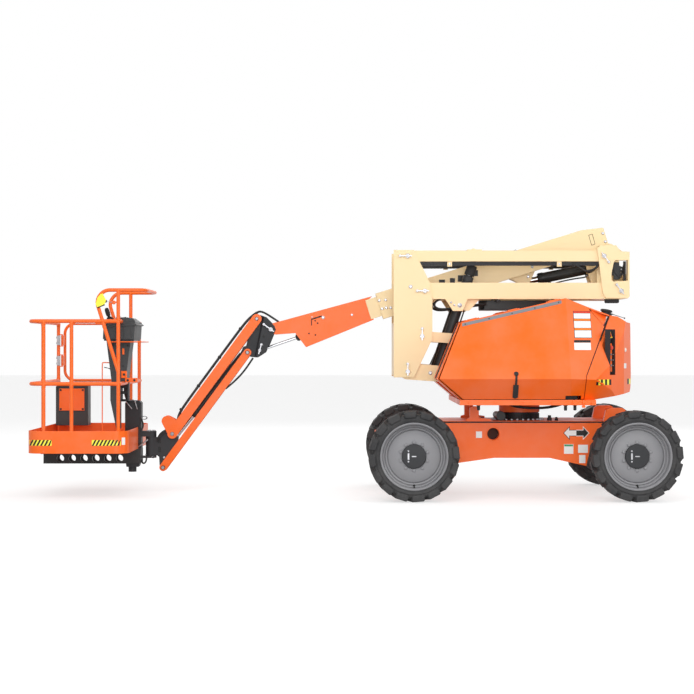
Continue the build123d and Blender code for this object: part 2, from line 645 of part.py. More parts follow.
with BuildPart() as tower_lower_arm:
    left, right = PINS["upright_low"], PINS["foot_low"]
    beam = between(left, right, TOWER_CYLINDER_FOOT + 130)
    arm_pair(left, right, LOWER_ARM_DEPTH, (left, right), ((beam, 45), (between(left, right, 1400), 40)))
    for side in (-1, 1):
        for offset_y in (-18, 18):
            y = side * TOWER_CYLINDER_Y + offset_y
            strap([(CYLINDER_FOOT, CYLINDER_EYE), (beam, CYLINDER_EYE)], y - 4, y + 4)
        disc(CYLINDER_FOOT, CYLINDER_PIN, side * TOWER_CYLINDER_Y - 22, side * TOWER_CYLINDER_Y + 22)
keep(tower_lower_arm, "tower_lower_arm")

with BuildPart() as tower_lower_link:
    left, right = PINS["upright_mid"], PINS["foot_high"]
    arm_pair(left, right, LOWER_LINK_DEPTH, (left, right), ((between(left, right, 1000), 30),))
keep(tower_lower_link, "tower_lower_link")

UPRIGHT_BACK = PINS["upright_low"][0] - 118
UPRIGHT_OUTLINE = [
    (UPRIGHT_BACK, 985), (UPRIGHT_BACK, 2046), (UPRIGHT_BACK + 171, 2046), (UPRIGHT_BACK + 213, 1955),
    (UPRIGHT_BACK + 302, 1777), (UPRIGHT_BACK + 323, 1633), (UPRIGHT_BACK + 323, 1292), (UPRIGHT_BACK + 306, 1271),
    (UPRIGHT_BACK + 171, 985),
]
with BuildPart() as tower_upright:
    for side in (-1, 1):
        low, high = sorted((side * CHEEK_INSIDE, side * CHEEK_OUTSIDE))
        slab(UPRIGHT_OUTLINE, low, high)
        for pin in ("upright_low", "upright_mid", "upright_top", "upright_next"):
            disc(PINS[pin], TOWER_PIN_RADIUS, *sorted((side * (ARM_INSIDE - 4), side * (CHEEK_OUTSIDE + 6))))
    block((UPRIGHT_BACK, UPRIGHT_BACK + 12), (-CHEEK_INSIDE + SEAT_GAP, CHEEK_INSIDE - SEAT_GAP), (1000, 1440))
keep(tower_upright, "tower_upright")

with BuildPart() as tower_upper_arm:
    left, right = PINS["upright_top"], PINS["knuckle_top"]
    arm_pair(left, right, UPPER_ARM_DEPTH, (left, right), ())
    for side in (-1, 1):
        head = CYLINDER_HEAD
        low, high = sorted((side * 150, side * 160))
        strap([(head, CYLINDER_EYE), ((head[0], left[1] + 40), CYLINDER_EYE)], low, high)
        block(
            (head[0] - 60, head[0] + 60), sorted((side * 150, side * ARM_OUTSIDE)),
            (left[1] + UPPER_ARM_DEPTH / 2 - 2, left[1] + UPPER_ARM_DEPTH / 2 + 10),
        )
keep(tower_upper_arm, "tower_upper_arm")

with BuildPart() as tower_upper_link:
    left, right = PINS["upright_next"], PINS["knuckle_low"]
    arm_pair(left, right, UPPER_LINK_DEPTH, (left, right), ((between(left, right, 1250), 40),))
    hang_x, hang_z = SLEW_X - 538, left[1] - UPPER_LINK_DEPTH / 2
    for side in (-1, 1):
        slab(
            [(hang_x - 96, hang_z + 4), (hang_x + 96, hang_z + 4), (hang_x + 54, hang_z - 100),
             (hang_x - 29, hang_z - 100)],
            *sorted((side * (ARM_OUTSIDE - 14), side * ARM_OUTSIDE)),
        )
        slab(
            [(hang_x + 66, hang_z + 4), (hang_x + 200, hang_z + 4), (hang_x + 110, hang_z - 96),
             (hang_x + 66, hang_z - 96)],
            *sorted((side * ARM_INSIDE, side * (ARM_INSIDE + 12))),
        )
keep(tower_upper_link, "tower_upper_link")

# Hose tray slung under the upper link on two straps
with BuildPart() as hose_tray:
    tray_x = (SLEW_X - 320, SLEW_X + 404)
    slab(
        [(tray_x[0], hang_z - 90), (tray_x[0] + 60, hang_z - 6), (tray_x[1], hang_z - 6), (tray_x[1], hang_z - 90)],
        -110, 110,
    )
    for x in (tray_x[0] + 120, tray_x[1] - 90):
        block((x, x + 30), (-ARM_INSIDE + SEAT_GAP, ARM_INSIDE - SEAT_GAP), (hang_z - 20, hang_z + 14))
keep(hose_tray, "hose_tray")


def cylinder_parts(
    foot, head, barrel_radius, rod_radius, barrel_share, eye_half, eye_radius, centres, names, bore, rod_share=0.55,
):
    """A hydraulic cylinder between two pins: bored eye and neck, barrel, and a rod with its floating eye."""
    length = hypot(head[0] - foot[0], head[1] - foot[1])
    gland = between(foot, head, length * barrel_share)
    start = between(foot, head, eye_radius + 26)
    with BuildPart() as barrel:
        for y in centres:
            strap([(foot, eye_radius), (start, eye_radius * 0.7)], y - eye_half, y + eye_half)
            rod((start[0], y, start[1]), (gland[0], y, gland[1]), barrel_radius)
            disc(foot, bore + PIN_FIT, y - eye_half, y + eye_half, Mode.SUBTRACT)
            floor = between(foot, head, eye_radius + 44)
            rod((floor[0], y, floor[1]), (gland[0], y, gland[1]), rod_radius + PIN_FIT, Mode.SUBTRACT)
    keep(barrel, names[0])
    inner = between(foot, head, length * barrel_share * rod_share)
    with BuildPart() as ram:
        for y in centres:
            rod((inner[0], y, inner[1]), (head[0], y, head[1]), rod_radius)
            disc(head, eye_radius, y - eye_half, y + eye_half)
    keep(ram, names[1])


cylinder_parts(
    CYLINDER_FOOT, CYLINDER_HEAD, 42, 25, 0.86, 12, CYLINDER_EYE, (-TOWER_CYLINDER_Y, TOWER_CYLINDER_Y),
    ("tower_cylinder_barrels", "tower_cylinder_rods"), CYLINDER_PIN,
)

# Knuckle: outer cheeks for the tower arms, inner cheeks for the boom and its lift cylinder
LIFT_FOOT = shift(PINS["boom"], LIFT_FOOT_OFFSET)
KNUCKLE_LEFT = PINS["knuckle_top"][0] - 49
KNUCKLE_RIGHT = PINS["knuckle_low"][0] + 69
KNUCKLE_FLOOR = PINS["knuckle_low"][1] - 61
KNUCKLE_OUTLINE = [
    (KNUCKLE_LEFT, 1998), (KNUCKLE_LEFT - 10, 2060), (KNUCKLE_LEFT + 30, 2085), (KNUCKLE_LEFT + 150, 2085),
    (KNUCKLE_LEFT + 185, 2035), (KNUCKLE_RIGHT, 2031), (KNUCKLE_RIGHT, KNUCKLE_FLOOR + 12),
    (KNUCKLE_RIGHT - 15, KNUCKLE_FLOOR), (KNUCKLE_LEFT + 65, KNUCKLE_FLOOR), (KNUCKLE_LEFT + 40, KNUCKLE_FLOOR + 40),
]
with BuildPart() as knuckle:
    for side in (-1, 1):
        slab(KNUCKLE_OUTLINE, *sorted((side * CHEEK_INSIDE, side * CHEEK_OUTSIDE)))
        slab(
            [(KNUCKLE_LEFT, KNUCKLE_FLOOR), (KNUCKLE_LEFT, 2085), (KNUCKLE_LEFT + 150, 2085), (KNUCKLE_RIGHT, 2000),
             (KNUCKLE_RIGHT, KNUCKLE_FLOOR)],
            *sorted((side * 226, side * 240)),
        )
        strap(
            [(PINS["boom"], 60), (LIFT_FOOT, 60), ((KNUCKLE_RIGHT - 60, KNUCKLE_FLOOR + 60), 60),
             ((KNUCKLE_LEFT + 60, KNUCKLE_FLOOR + 60), 60)],
            *sorted((side * BOOM_CHEEK_INSIDE, side * (BOOM_CHEEK_INSIDE + 14))),
        )
        block((KNUCKLE_LEFT + 10, KNUCKLE_LEFT + 150), sorted((side * 226, side * CHEEK_OUTSIDE)), (2071, 2085))
        block((KNUCKLE_RIGHT - 14, KNUCKLE_RIGHT), sorted((side * 226, side * CHEEK_OUTSIDE)), (1800, 2000))
        for pin in ("knuckle_top", "knuckle_low"):
            disc(PINS[pin], TOWER_PIN_RADIUS, *sorted((side * 230, side * (CHEEK_OUTSIDE + 6))))
        slab(
            [(KNUCKLE_RIGHT - 150, 1850), (KNUCKLE_RIGHT - 130, 1950), (KNUCKLE_RIGHT - 118, 1961),
             (KNUCKLE_RIGHT - 14, 1961), (KNUCKLE_RIGHT - 14, 1790), (KNUCKLE_RIGHT - 138, 1783),
             (KNUCKLE_RIGHT - 150, 1800)],
            *sorted((side * 220, side * (CHEEK_OUTSIDE + 5))), Mode.SUBTRACT,
        )
    block((KNUCKLE_RIGHT - 14, KNUCKLE_RIGHT), (-226, 226), (KNUCKLE_FLOOR, 1850))
    block((KNUCKLE_LEFT, KNUCKLE_RIGHT), (-226, 226), (KNUCKLE_FLOOR, KNUCKLE_FLOOR + 14))
    disc(PINS["boom"], 30, -BOOM_CHEEK_INSIDE - 20, BOOM_CHEEK_INSIDE + 20)
    disc(LIFT_FOOT, CYLINDER_PIN, -BOOM_CHEEK_INSIDE - 20, BOOM_CHEEK_INSIDE + 20)
keep(knuckle, "knuckle")

# ---------------------------------------------------------------- main boom
BOOM_HALF = BOOM_WIDTH / 2
BOOM_INSIDE = BOOM_HALF - BOOM_WALL
# Wear pads between the boom and its fly: low Y, high Y, low V, high V
WEAR_PADS = (
    (-45, 45, BOOM_FLOOR + BOOM_WALL, FLY_FLOOR - SEAT_GAP), (-45, 45, FLY_ROOF + SEAT_GAP, BOOM_ROOF - BOOM_WALL),
    (-BOOM_INSIDE, -FLY_HALF_WIDTH - SEAT_GAP, 90, 170), (FLY_HALF_WIDTH + SEAT_GAP, BOOM_INSIDE, 90, 170),
)
with BuildPart() as base_boom:
    boom_slab(
        [(-15, 46), (-15, 200), (168, BOOM_ROOF), (BOOM_LENGTH, BOOM_ROOF), (BOOM_LENGTH, BOOM_FLOOR), (10, BOOM_FLOOR)],
        -BOOM_HALF, BOOM_HALF,
    )
    boom_slab(
        [(20, BOOM_FLOOR + BOOM_WALL), (20, 190), (168, BOOM_ROOF - BOOM_WALL), (BOOM_LENGTH + 5, BOOM_ROOF - BOOM_WALL),
         (BOOM_LENGTH + 5, BOOM_FLOOR + BOOM_WALL)],
        -BOOM_HALF + BOOM_WALL, BOOM_HALF - BOOM_WALL, Mode.SUBTRACT,
    )
    for side in (-1, 1):
        boom_strap([((0, 0), 45), ((40, 70), 45), ((150, 60), 30)], *sorted((side * 50, side * BOOM_HALF)))
        boom_strap([(LIFT_EYE, 36), ((650, 40), 18), ((860, 40), 18)], *sorted((side * 31, side * 43)))
        boom_slab(
            [(1840, BOOM_FLOOR - 6), (1840, BOOM_ROOF + 6), (BOOM_LENGTH, BOOM_ROOF + 6), (BOOM_LENGTH, BOOM_FLOOR - 6)],
            *sorted((side * BOOM_HALF, side * (BOOM_HALF + 6))),
        )
    boom_slab(
        [(-60, BOOM_FLOOR + BOOM_WALL), (-60, 190), (168, BOOM_ROOF - BOOM_WALL), (600, BOOM_ROOF - BOOM_WALL),
         (1200, BOOM_FLOOR + BOOM_WALL)],
        -45, 45, Mode.SUBTRACT,
    )
    for y_low, y_high, v_low, v_high in WEAR_PADS:
        boom_slab(
            [(BOOM_LENGTH - 62, v_low), (BOOM_LENGTH - 62, v_high), (BOOM_LENGTH - 4, v_high), (BOOM_LENGTH - 4, v_low)],
            y_low, y_high,
        )
    with BuildSketch(boom_line(-BOOM_HALF)) as pivot_bore:
        Circle(30 + PIN_FIT)
    extrude(pivot_bore.sketch, amount=BOOM_WIDTH, mode=Mode.SUBTRACT)
keep(base_boom, "base_boom")

FLY_WALL = 6
NOSE_HALF = 58
NOSE = [
    (2025, 229), (2073, 204), (2070, 35), (2687, -17), (2739, 125), (2905, 163), (2970, 200), (2962, 250),
    (2896, 261), (2835, 258),
]
with BuildPart() as fly_boom:
    boom_slab([(260, FLY_FLOOR), (260, FLY_ROOF), (2090, FLY_ROOF), (2090, FLY_FLOOR)], -FLY_HALF_WIDTH, FLY_HALF_WIDTH)
    boom_slab(
        [(250, FLY_FLOOR + FLY_WALL), (250, FLY_ROOF - FLY_WALL), (2100, FLY_ROOF - FLY_WALL),
         (2100, FLY_FLOOR + FLY_WALL)],
        -FLY_HALF_WIDTH + FLY_WALL, FLY_HALF_WIDTH - FLY_WALL, Mode.SUBTRACT,
    )
    for v_low, v_high in ((BOOM_FLOOR + BOOM_WALL + SEAT_GAP, FLY_FLOOR), (FLY_ROOF, BOOM_ROOF - BOOM_WALL - SEAT_GAP)):
        boom_slab([(270, v_low), (270, v_high), (330, v_high), (330, v_low)], -45, 45)
keep(fly_boom, "fly_boom")

with BuildPart() as fly_nose:
    boom_slab(NOSE, -NOSE_HALF, NOSE_HALF)
    boom_slab(
        [(2060, 210), (2060, 43), (2690, -30), (2745, 117), (3000, 150), (3000, 190), (2860, 248), (2700, 244)],
        -NOSE_HALF + 8, NOSE_HALF - 8, Mode.SUBTRACT,
    )
    boom_slab(
        [(2000, FLY_ROOF + SEAT_GAP), (2000, FLY_FLOOR - SEAT_GAP), (2090 + SEAT_GAP, FLY_FLOOR - SEAT_GAP),
         (2090 + SEAT_GAP, FLY_ROOF + SEAT_GAP)],
        -NOSE_HALF - 10, NOSE_HALF + 10, Mode.SUBTRACT,
    )
    with BuildSketch(boom_line(-NOSE_HALF)) as nose_bores:
        with Locations(JIB_PIVOT):
            Circle(22 + PIN_FIT)
    extrude(nose_bores.sketch, amount=2 * NOSE_HALF, mode=Mode.SUBTRACT)
    level_foot = shift(PINS["boom"], boom_offset(*LEVEL_FOOT))
    disc(level_foot, 14, -NOSE_HALF + 8, NOSE_HALF - 8)
keep(fly_nose, "fly_nose")

LIFT_HEAD = shift(PINS["boom"], boom_offset(*LIFT_EYE))
cylinder_parts(
    LIFT_FOOT, LIFT_HEAD, 45, 25, 0.80, 20, 34, (0,), ("lift_cylinder_barrel", "lift_cylinder_rod"), CYLINDER_PIN,
)

LEVEL_HEAD = shift(PINS["jib"], LEVEL_PIN)
cylinder_parts(
    level_foot, LEVEL_HEAD, 28, 12, 0.545, 14, 24, (0,), ("level_cylinder_barrel", "level_cylinder_rod"), 14, 0.9,
)

# ---------------------------------------------------------------- jib
PLATE_WIDE = (60, 68)
PLATE_NARROW = (32, 40)
LOWER_BAR = (42, 50)
UPPER_BAR = (55, 65)
JIB_PIN = 16
JIB_PLATE = [
    (-84, 120), (-40, 104), (32, 28), (42, -1), (-11, -127), (-45, -195), (-114, -239), (-172, -234),
    (-220, -180), (-160, 60), (-150, 105), (-119, 125),
]
with BuildPart() as jib_pivot:
    pivot = PINS["jib"]
    outline = [shift(pivot, point) for point in JIB_PLATE]
    bend_high, bend_low = (pivot[0] - 60, pivot[1] + 102), (pivot[0] - 128, pivot[1] - 238)
    slope = degrees(atan2(bend_high[0] - bend_low[0], bend_high[1] - bend_low[1]))
    for side in (-1, 1):
        with BuildSketch(Plane(origin=(bend_low[0], 0, bend_low[1]), x_dir=(1, 0, 0), z_dir=(sin(radians(slope)), 0, cos(radians(slope))))) as sheet:
            with BuildLine():
                Polyline(
                    (-300, side * PLATE_NARROW[0]), (-300, side * PLATE_NARROW[1]), (-12, side * PLATE_NARROW[1]),
                    (4, side * PLATE_WIDE[1]), (400, side * PLATE_WIDE[1]), (400, side * PLATE_WIDE[0]),
                    (8, side * PLATE_WIDE[0]), (-8, side * PLATE_NARROW[0]), close=True,
                )
            make_face()
        extrude(sheet.sketch, amount=600, both=True)
    slab(outline, -100, 100, Mode.INTERSECT)
    disc(pivot, 22, -PLATE_WIDE[1] - 6, PLATE_WIDE[1] + 6)
    for side in (-1, 1):
        for pin in ("jib_top", "jib_low"):
            disc(PINS[pin], JIB_PIN, *sorted((side * PLATE_NARROW[0], side * (UPPER_BAR[1] + 3))))
    foot = shift(pivot, JIB_CYLINDER_FOOT)
    disc(foot, 14, -PLATE_NARROW[1], PLATE_NARROW[1])
    strap([(foot, 30), (shift(foot, (70, 20)), 30)], -PLATE_NARROW[1], -PLATE_NARROW[0])
    strap([(foot, 30), (shift(foot, (70, 20)), 30)], PLATE_NARROW[0], PLATE_NARROW[1])
keep(jib_pivot, "jib_pivot")

with BuildPart() as jib_upper_arm:
    top, end = PINS["jib_top"], PINS["end_top"]
    for side in (-1, 1):
        low, high = sorted((side * UPPER_BAR[0], side * UPPER_BAR[1]))
        strap([(top, 41), (end, 41)], low, high)
        strap([(end, 34), (shift(end, (-46, 108)), 44), (shift(end, (40, 90)), 20)], low, high)
        for pin in (top, end):
            disc(pin, JIB_PIN + PIN_FIT, low, high, Mode.SUBTRACT)
    disc(shift(end, (-46, 108)), 26, -UPPER_BAR[0], UPPER_BAR[0])
keep(jib_upper_arm, "jib_upper_arm")

with BuildPart() as jib_lower_arm:
    top, end = PINS["jib_low"], PINS["end_low"]
    for side in (-1, 1):
        low, high = sorted((side * LOWER_BAR[0], side * LOWER_BAR[1]))
        strap([(top, 32), (end, 32)], low, high)
        for pin in (top, end):
            disc(pin, JIB_PIN + PIN_FIT, low, high, Mode.SUBTRACT)
keep(jib_lower_arm, "jib_lower_arm")

JIB_FOOT = shift(PINS["jib"], JIB_CYLINDER_FOOT)
JIB_HEAD = shift(PINS["end_top"], JIB_CYLINDER_HEAD)
cylinder_parts(JIB_FOOT, JIB_HEAD, 27, 16, 0.74, 14, 28, (0,), ("jib_cylinder_barrel", "jib_cylinder_rod"), 14)

# ---------------------------------------------------------------- end plate, rotator and column
END_PLATE = [
    (-125, -23), (-60, 30), (30, 36), (51, -2), (46, -66), (26, -93), (-46, -262), (-50, -300), (-79, -320),
    (-108, -300), (-114, -197), (-133, -180),
]
ACTUATOR_RADIUS = 45
END_X, END_Z = PINS["end_top"]
ROTATOR_X = PINS["rotator"][0]
with BuildPart() as jib_end:
    outline = [shift(PINS["end_top"], point) for point in END_PLATE]
    for side in (-1, 1):
        slab(outline, *sorted((side * 30, side * 38)))
        for pin in ("end_top", "end_low"):
            disc(PINS[pin], JIB_PIN, *sorted((side * 30, side * (UPPER_BAR[1] + 3))))
    block((ROTATOR_X, ROTATOR_X + 58), (-38, 38), (END_Z - 185, END_Z - 30))
    rod((ROTATOR_X, 0, END_Z - 190), (ROTATOR_X, 0, END_Z - 25), ACTUATOR_RADIUS)
keep(jib_end, "jib_end")

COLUMN_LEFT, COLUMN_RIGHT = ROTATOR_X - 214, ROTATOR_X - 78
COLUMN_HALF = 60
COLUMN_TOP = END_Z + 281
with BuildPart() as platform_column:
    slab(
        [(COLUMN_LEFT, END_Z - 213), (COLUMN_LEFT, COLUMN_TOP - 18), (COLUMN_LEFT + 18, COLUMN_TOP),
         (COLUMN_RIGHT - 18, COLUMN_TOP), (COLUMN_RIGHT, COLUMN_TOP - 18), (COLUMN_RIGHT, END_Z - 213),
         (COLUMN_RIGHT - 22, END_Z - 280), (COLUMN_LEFT + 12, END_Z - 280)],
        -COLUMN_HALF, COLUMN_HALF,
    )
    column_x = (COLUMN_LEFT + COLUMN_RIGHT) / 2 - 12
    rod((column_x, 0, END_Z - 324), (column_x, 0, END_Z - 280), 34)
    for low, high in ((END_Z - 25 + SEAT_GAP, END_Z + 22), (END_Z - 206, END_Z - 190 - SEAT_GAP)):
        with BuildSketch(Plane.XY.offset(low)) as flange:
            with Locations((ROTATOR_X, 0)):
                Circle(46)
            with Locations((COLUMN_RIGHT - 10, 0)):
                Rectangle(20, 100)
            make_hull()
        extrude(flange.sketch, amount=high - low)
keep(platform_column, "platform_column")

# ---------------------------------------------------------------- platform
PLATFORM_RIGHT = ROTATOR_X - PLATFORM_GAP
PLATFORM_LEFT = PLATFORM_RIGHT - PLATFORM_DEPTH
PLATFORM_HALF = PLATFORM_WIDTH / 2
PLATFORM_X = (PLATFORM_LEFT + PLATFORM_RIGHT) / 2
TRAY_WALL = 5
with BuildPart() as platform_floor:
    with BuildSketch(Plane.XY.offset(PLATFORM_FLOOR)) as tray:
        with Locations((PLATFORM_X, 0)):
            RectangleRounded(PLATFORM_DEPTH, PLATFORM_WIDTH, CORNER_RADIUS)
    extrude(tray.sketch, amount=TOE_BOARD)
    with BuildSketch(Plane.XY.offset(PLATFORM_FLOOR + TRAY_WALL)) as inside:
        with Locations((PLATFORM_X, 0)):
            RectangleRounded(PLATFORM_DEPTH - 2 * TRAY_WALL, PLATFORM_WIDTH - 2 * TRAY_WALL, CORNER_RADIUS - TRAY_WALL)
    extrude(inside.sketch, amount=TOE_BOARD, mode=Mode.SUBTRACT)
    block(
        (COLUMN_LEFT - SEAT_GAP, PLATFORM_RIGHT + 10), (-COLUMN_HALF - SEAT_GAP, COLUMN_HALF + SEAT_GAP),
        (PLATFORM_FLOOR - 10, PLATFORM_FLOOR + TOE_BOARD + 10), Mode.SUBTRACT,
    )
keep(platform_floor, "platform_floor")

BEAM_HOLE = 62
BEAM_PITCH = 100
BEAM_LEFT = PLATFORM_LEFT + 18
with BuildPart() as platform_support:
    for y in (-COLUMN_HALF - 24, COLUMN_HALF + SEAT_GAP):
        block((BEAM_LEFT, COLUMN_RIGHT), (y, y + 24 - SEAT_GAP), (PLATFORM_FLOOR - 126, PLATFORM_FLOOR - SEAT_GAP))
    hole_x = BEAM_LEFT + 143
    while hole_x < COLUMN_LEFT - 40:
        disc((hole_x, PLATFORM_FLOOR - 82), BEAM_HOLE / 2, -COLUMN_HALF - 30, COLUMN_HALF + 30, Mode.SUBTRACT)
        hole_x += BEAM_PITCH
    for y in (-560, 520):
        block((PLATFORM_LEFT + 80, PLATFORM_RIGHT - 80), (y, y + 40), (PLATFORM_FLOOR - 16, PLATFORM_FLOOR - SEAT_GAP))
    block((PLATFORM_X - 30, PLATFORM_X + 30), (-520, -COLUMN_HALF - 24), (PLATFORM_FLOOR - 16, PLATFORM_FLOOR - SEAT_GAP))
    block((PLATFORM_X - 30, PLATFORM_X + 30), (COLUMN_HALF + 24, 520), (PLATFORM_FLOOR - 16, PLATFORM_FLOOR - SEAT_GAP))
    block((PLATFORM_X - 30, PLATFORM_X + 30), (-COLUMN_HALF - 10, COLUMN_HALF + 10), (PLATFORM_FLOOR - 46, PLATFORM_FLOOR - 16))
keep(platform_support, "platform_support")

RAIL_INSET = TRAY_WALL + SEAT_GAP + RAIL_RADIUS
REAR_RAIL_INSET = 71
RAIL_X = (PLATFORM_LEFT + RAIL_INSET, PLATFORM_RIGHT - REAR_RAIL_INSET)
RAIL_Y = PLATFORM_HALF - RAIL_INSET
BEND = CORNER_RADIUS - RAIL_INSET
HINGE_POST_Y = RAIL_Y - 90
END_POST_Y = -120
LATCH_X = RAIL_X[1] - BEND - 10
HOOP_TOP = 1698
HOOP_FRONT = -185
HOOP_REAR = 215
HOOP_Y = 10
GATE_LEFT = PLATFORM_LEFT + 64
GATE_RIGHT = LATCH_X - 34
HINGE_X, HINGE_Y = RAIL_X[0] + 32, HINGE_POST_Y
GATE_PIN, LEAF_HEIGHT = 5, 90
LEAVES = (TOP_RAIL - 195, MID_RAIL + 132)
POST_FLOOR = PLATFORM_FLOOR + TRAY_WALL + 10
with BuildPart() as platform_rails:
    for z in (TOP_RAIL, MID_RAIL):
        tube_run(
            [(RAIL_X[0], HINGE_POST_Y, z), (RAIL_X[0], -RAIL_Y, z), (RAIL_X[1], -RAIL_Y, z), (RAIL_X[1], RAIL_Y, z),
             (LATCH_X, RAIL_Y, z)],
            RAIL_RADIUS, (BEND, 25, BEND),
        )
    posts = [
        (RAIL_X[0] + 115, -RAIL_Y), (RAIL_X[0] + 340, -RAIL_Y), (RAIL_X[0], HINGE_POST_Y), (LATCH_X, RAIL_Y),
        (RAIL_X[0], END_POST_Y), (RAIL_X[1], RAIL_Y - 140),
    ]
    for x, y in posts:
        rod((x, y, POST_FLOOR), (x, y, TOP_RAIL), RAIL_RADIUS - 1)
    rod(
        (RAIL_X[1] - 6, -RAIL_Y, PLATFORM_FLOOR + TOE_BOARD + SEAT_GAP), (RAIL_X[1] - 6, -RAIL_Y, HOOP_TOP),
        RAIL_RADIUS - 1,
    )
    rod((RAIL_X[1], HOOP_Y, COLUMN_TOP + SEAT_GAP), (RAIL_X[1], HOOP_Y, HOOP_TOP), RAIL_RADIUS - 1)
    # Guard hoop over the controls: up the near side, across behind them and down the middle
    tube_run(
        [(RAIL_X[1] - 4, -RAIL_Y, 1030), (RAIL_X[1] + HOOP_FRONT, -RAIL_Y, HOOP_TOP - 80),
         (RAIL_X[1] + HOOP_FRONT + 65, -RAIL_Y, HOOP_TOP), (RAIL_X[1] + HOOP_REAR, -RAIL_Y, HOOP_TOP),
         (RAIL_X[1] + HOOP_REAR, HOOP_Y, HOOP_TOP), (RAIL_X[1] + HOOP_FRONT + 65, HOOP_Y, HOOP_TOP),
         (RAIL_X[1] + HOOP_FRONT, HOOP_Y, HOOP_TOP - 80), (RAIL_X[1] - 4, HOOP_Y, 1030)],
        RAIL_RADIUS - 1, (96, 96, 90, 90, 96, 96),
    )
    for z in LEAVES:
        for low in (z - 10, z + LEAF_HEIGHT + 2):
            with BuildSketch(Plane.XY.offset(low)) as lug:
                with Locations((RAIL_X[0], HINGE_POST_Y)):
                    Circle(14)
                with Locations((HINGE_X, HINGE_Y)):
                    Circle(9)
                make_hull()
            extrude(lug.sketch, amount=8)
        rod((HINGE_X, HINGE_Y, z - 6), (HINGE_X, HINGE_Y, z + LEAF_HEIGHT + 6), GATE_PIN)
keep(platform_rails, "platform_rails")

# Swing gate on the far side, closed by the rail's own height
with BuildPart() as platform_gate:
    tube_run(
        [(GATE_LEFT, RAIL_Y, MID_RAIL), (GATE_LEFT, RAIL_Y, TOP_RAIL), (GATE_RIGHT, RAIL_Y, TOP_RAIL),
         (GATE_RIGHT, RAIL_Y, MID_RAIL)],
        13, 90, close=True,
    )
    for z in LEAVES:
        with BuildSketch(Plane.XY.offset(z)) as leaf:
            with Locations((HINGE_X, HINGE_Y)):
                Circle(9)
            with Locations((GATE_LEFT, RAIL_Y - 6)):
                Circle(6)
            make_hull()
            with Locations((HINGE_X, HINGE_Y)):
                Circle(GATE_PIN + PIN_FIT, mode=Mode.SUBTRACT)
        extrude(leaf.sketch, amount=LEAF_HEIGHT)
keep(platform_gate, "platform_gate")

# Storage box hung on the gate's hinge post, below the middle rail
with BuildPart() as storage_box:
    # The round post meets the box 13.7 mm from its own middle
    front_y = HINGE_POST_Y - 13.7 - SEAT_GAP - 160
    block((RAIL_X[0] + 6, RAIL_X[0] + 289), (front_y, front_y + 160), (549, 893))
    block((RAIL_X[0] + 30, RAIL_X[0] + 264), (front_y - 4, front_y), (673, 880))
keep(storage_box, "storage_box")

# Control console: a lidded box astride the rear rail on a tapering pedestal
CONSOLE_Y = (-600, -130)
CONSOLE_FLOOR = 1289
with BuildPart() as control_console:
    slab(
        [(RAIL_X[1] - 150, CONSOLE_FLOOR + 14), (RAIL_X[1] - 146, 1400), (RAIL_X[1] - 100, 1462),
         (RAIL_X[1] + 60, 1478), (RAIL_X[1] + 112, 1440), (RAIL_X[1] + 104, CONSOLE_FLOOR + 14)],
        *CONSOLE_Y,
    )
    slab(
        [(RAIL_X[1] - 144, CONSOLE_FLOOR), (RAIL_X[1] - 144, CONSOLE_FLOOR + 14), (RAIL_X[1] + 100, CONSOLE_FLOOR + 14),
         (RAIL_X[1] + 100, CONSOLE_FLOOR)],
        CONSOLE_Y[0] + 20, CONSOLE_Y[1] - 20,
    )
    slab(
        [(RAIL_X[1] - 138, CONSOLE_FLOOR), (RAIL_X[1] - 96, 952), (RAIL_X[1] + 18, 952), (RAIL_X[1] + 60, CONSOLE_FLOOR)],
        -480, -250,
    )
    slab(
        [(RAIL_X[1] - 112, 916), (RAIL_X[1] - 96, 970), (RAIL_X[1] - 40, 970), (RAIL_X[1] - 40, 560),
         (RAIL_X[1] - 62, 560), (RAIL_X[1] - 112, 800)],
        -440, -290,
    )
    for z in (TOP_RAIL, MID_RAIL):
        rod((RAIL_X[1], CONSOLE_Y[0] - 1, z), (RAIL_X[1], CONSOLE_Y[1] + 1, z), RAIL_RADIUS + SEAT_GAP, Mode.SUBTRACT)
keep(control_console, "control_console")
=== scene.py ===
"""Looks of the articulating boom lift: paint, rubber, steel, fasteners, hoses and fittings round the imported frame."""
import bmesh
import bpy
import json
from math import cos, pi, radians, sin
from mathutils import Matrix, Vector
from mathutils.bvhtree import BVHTree


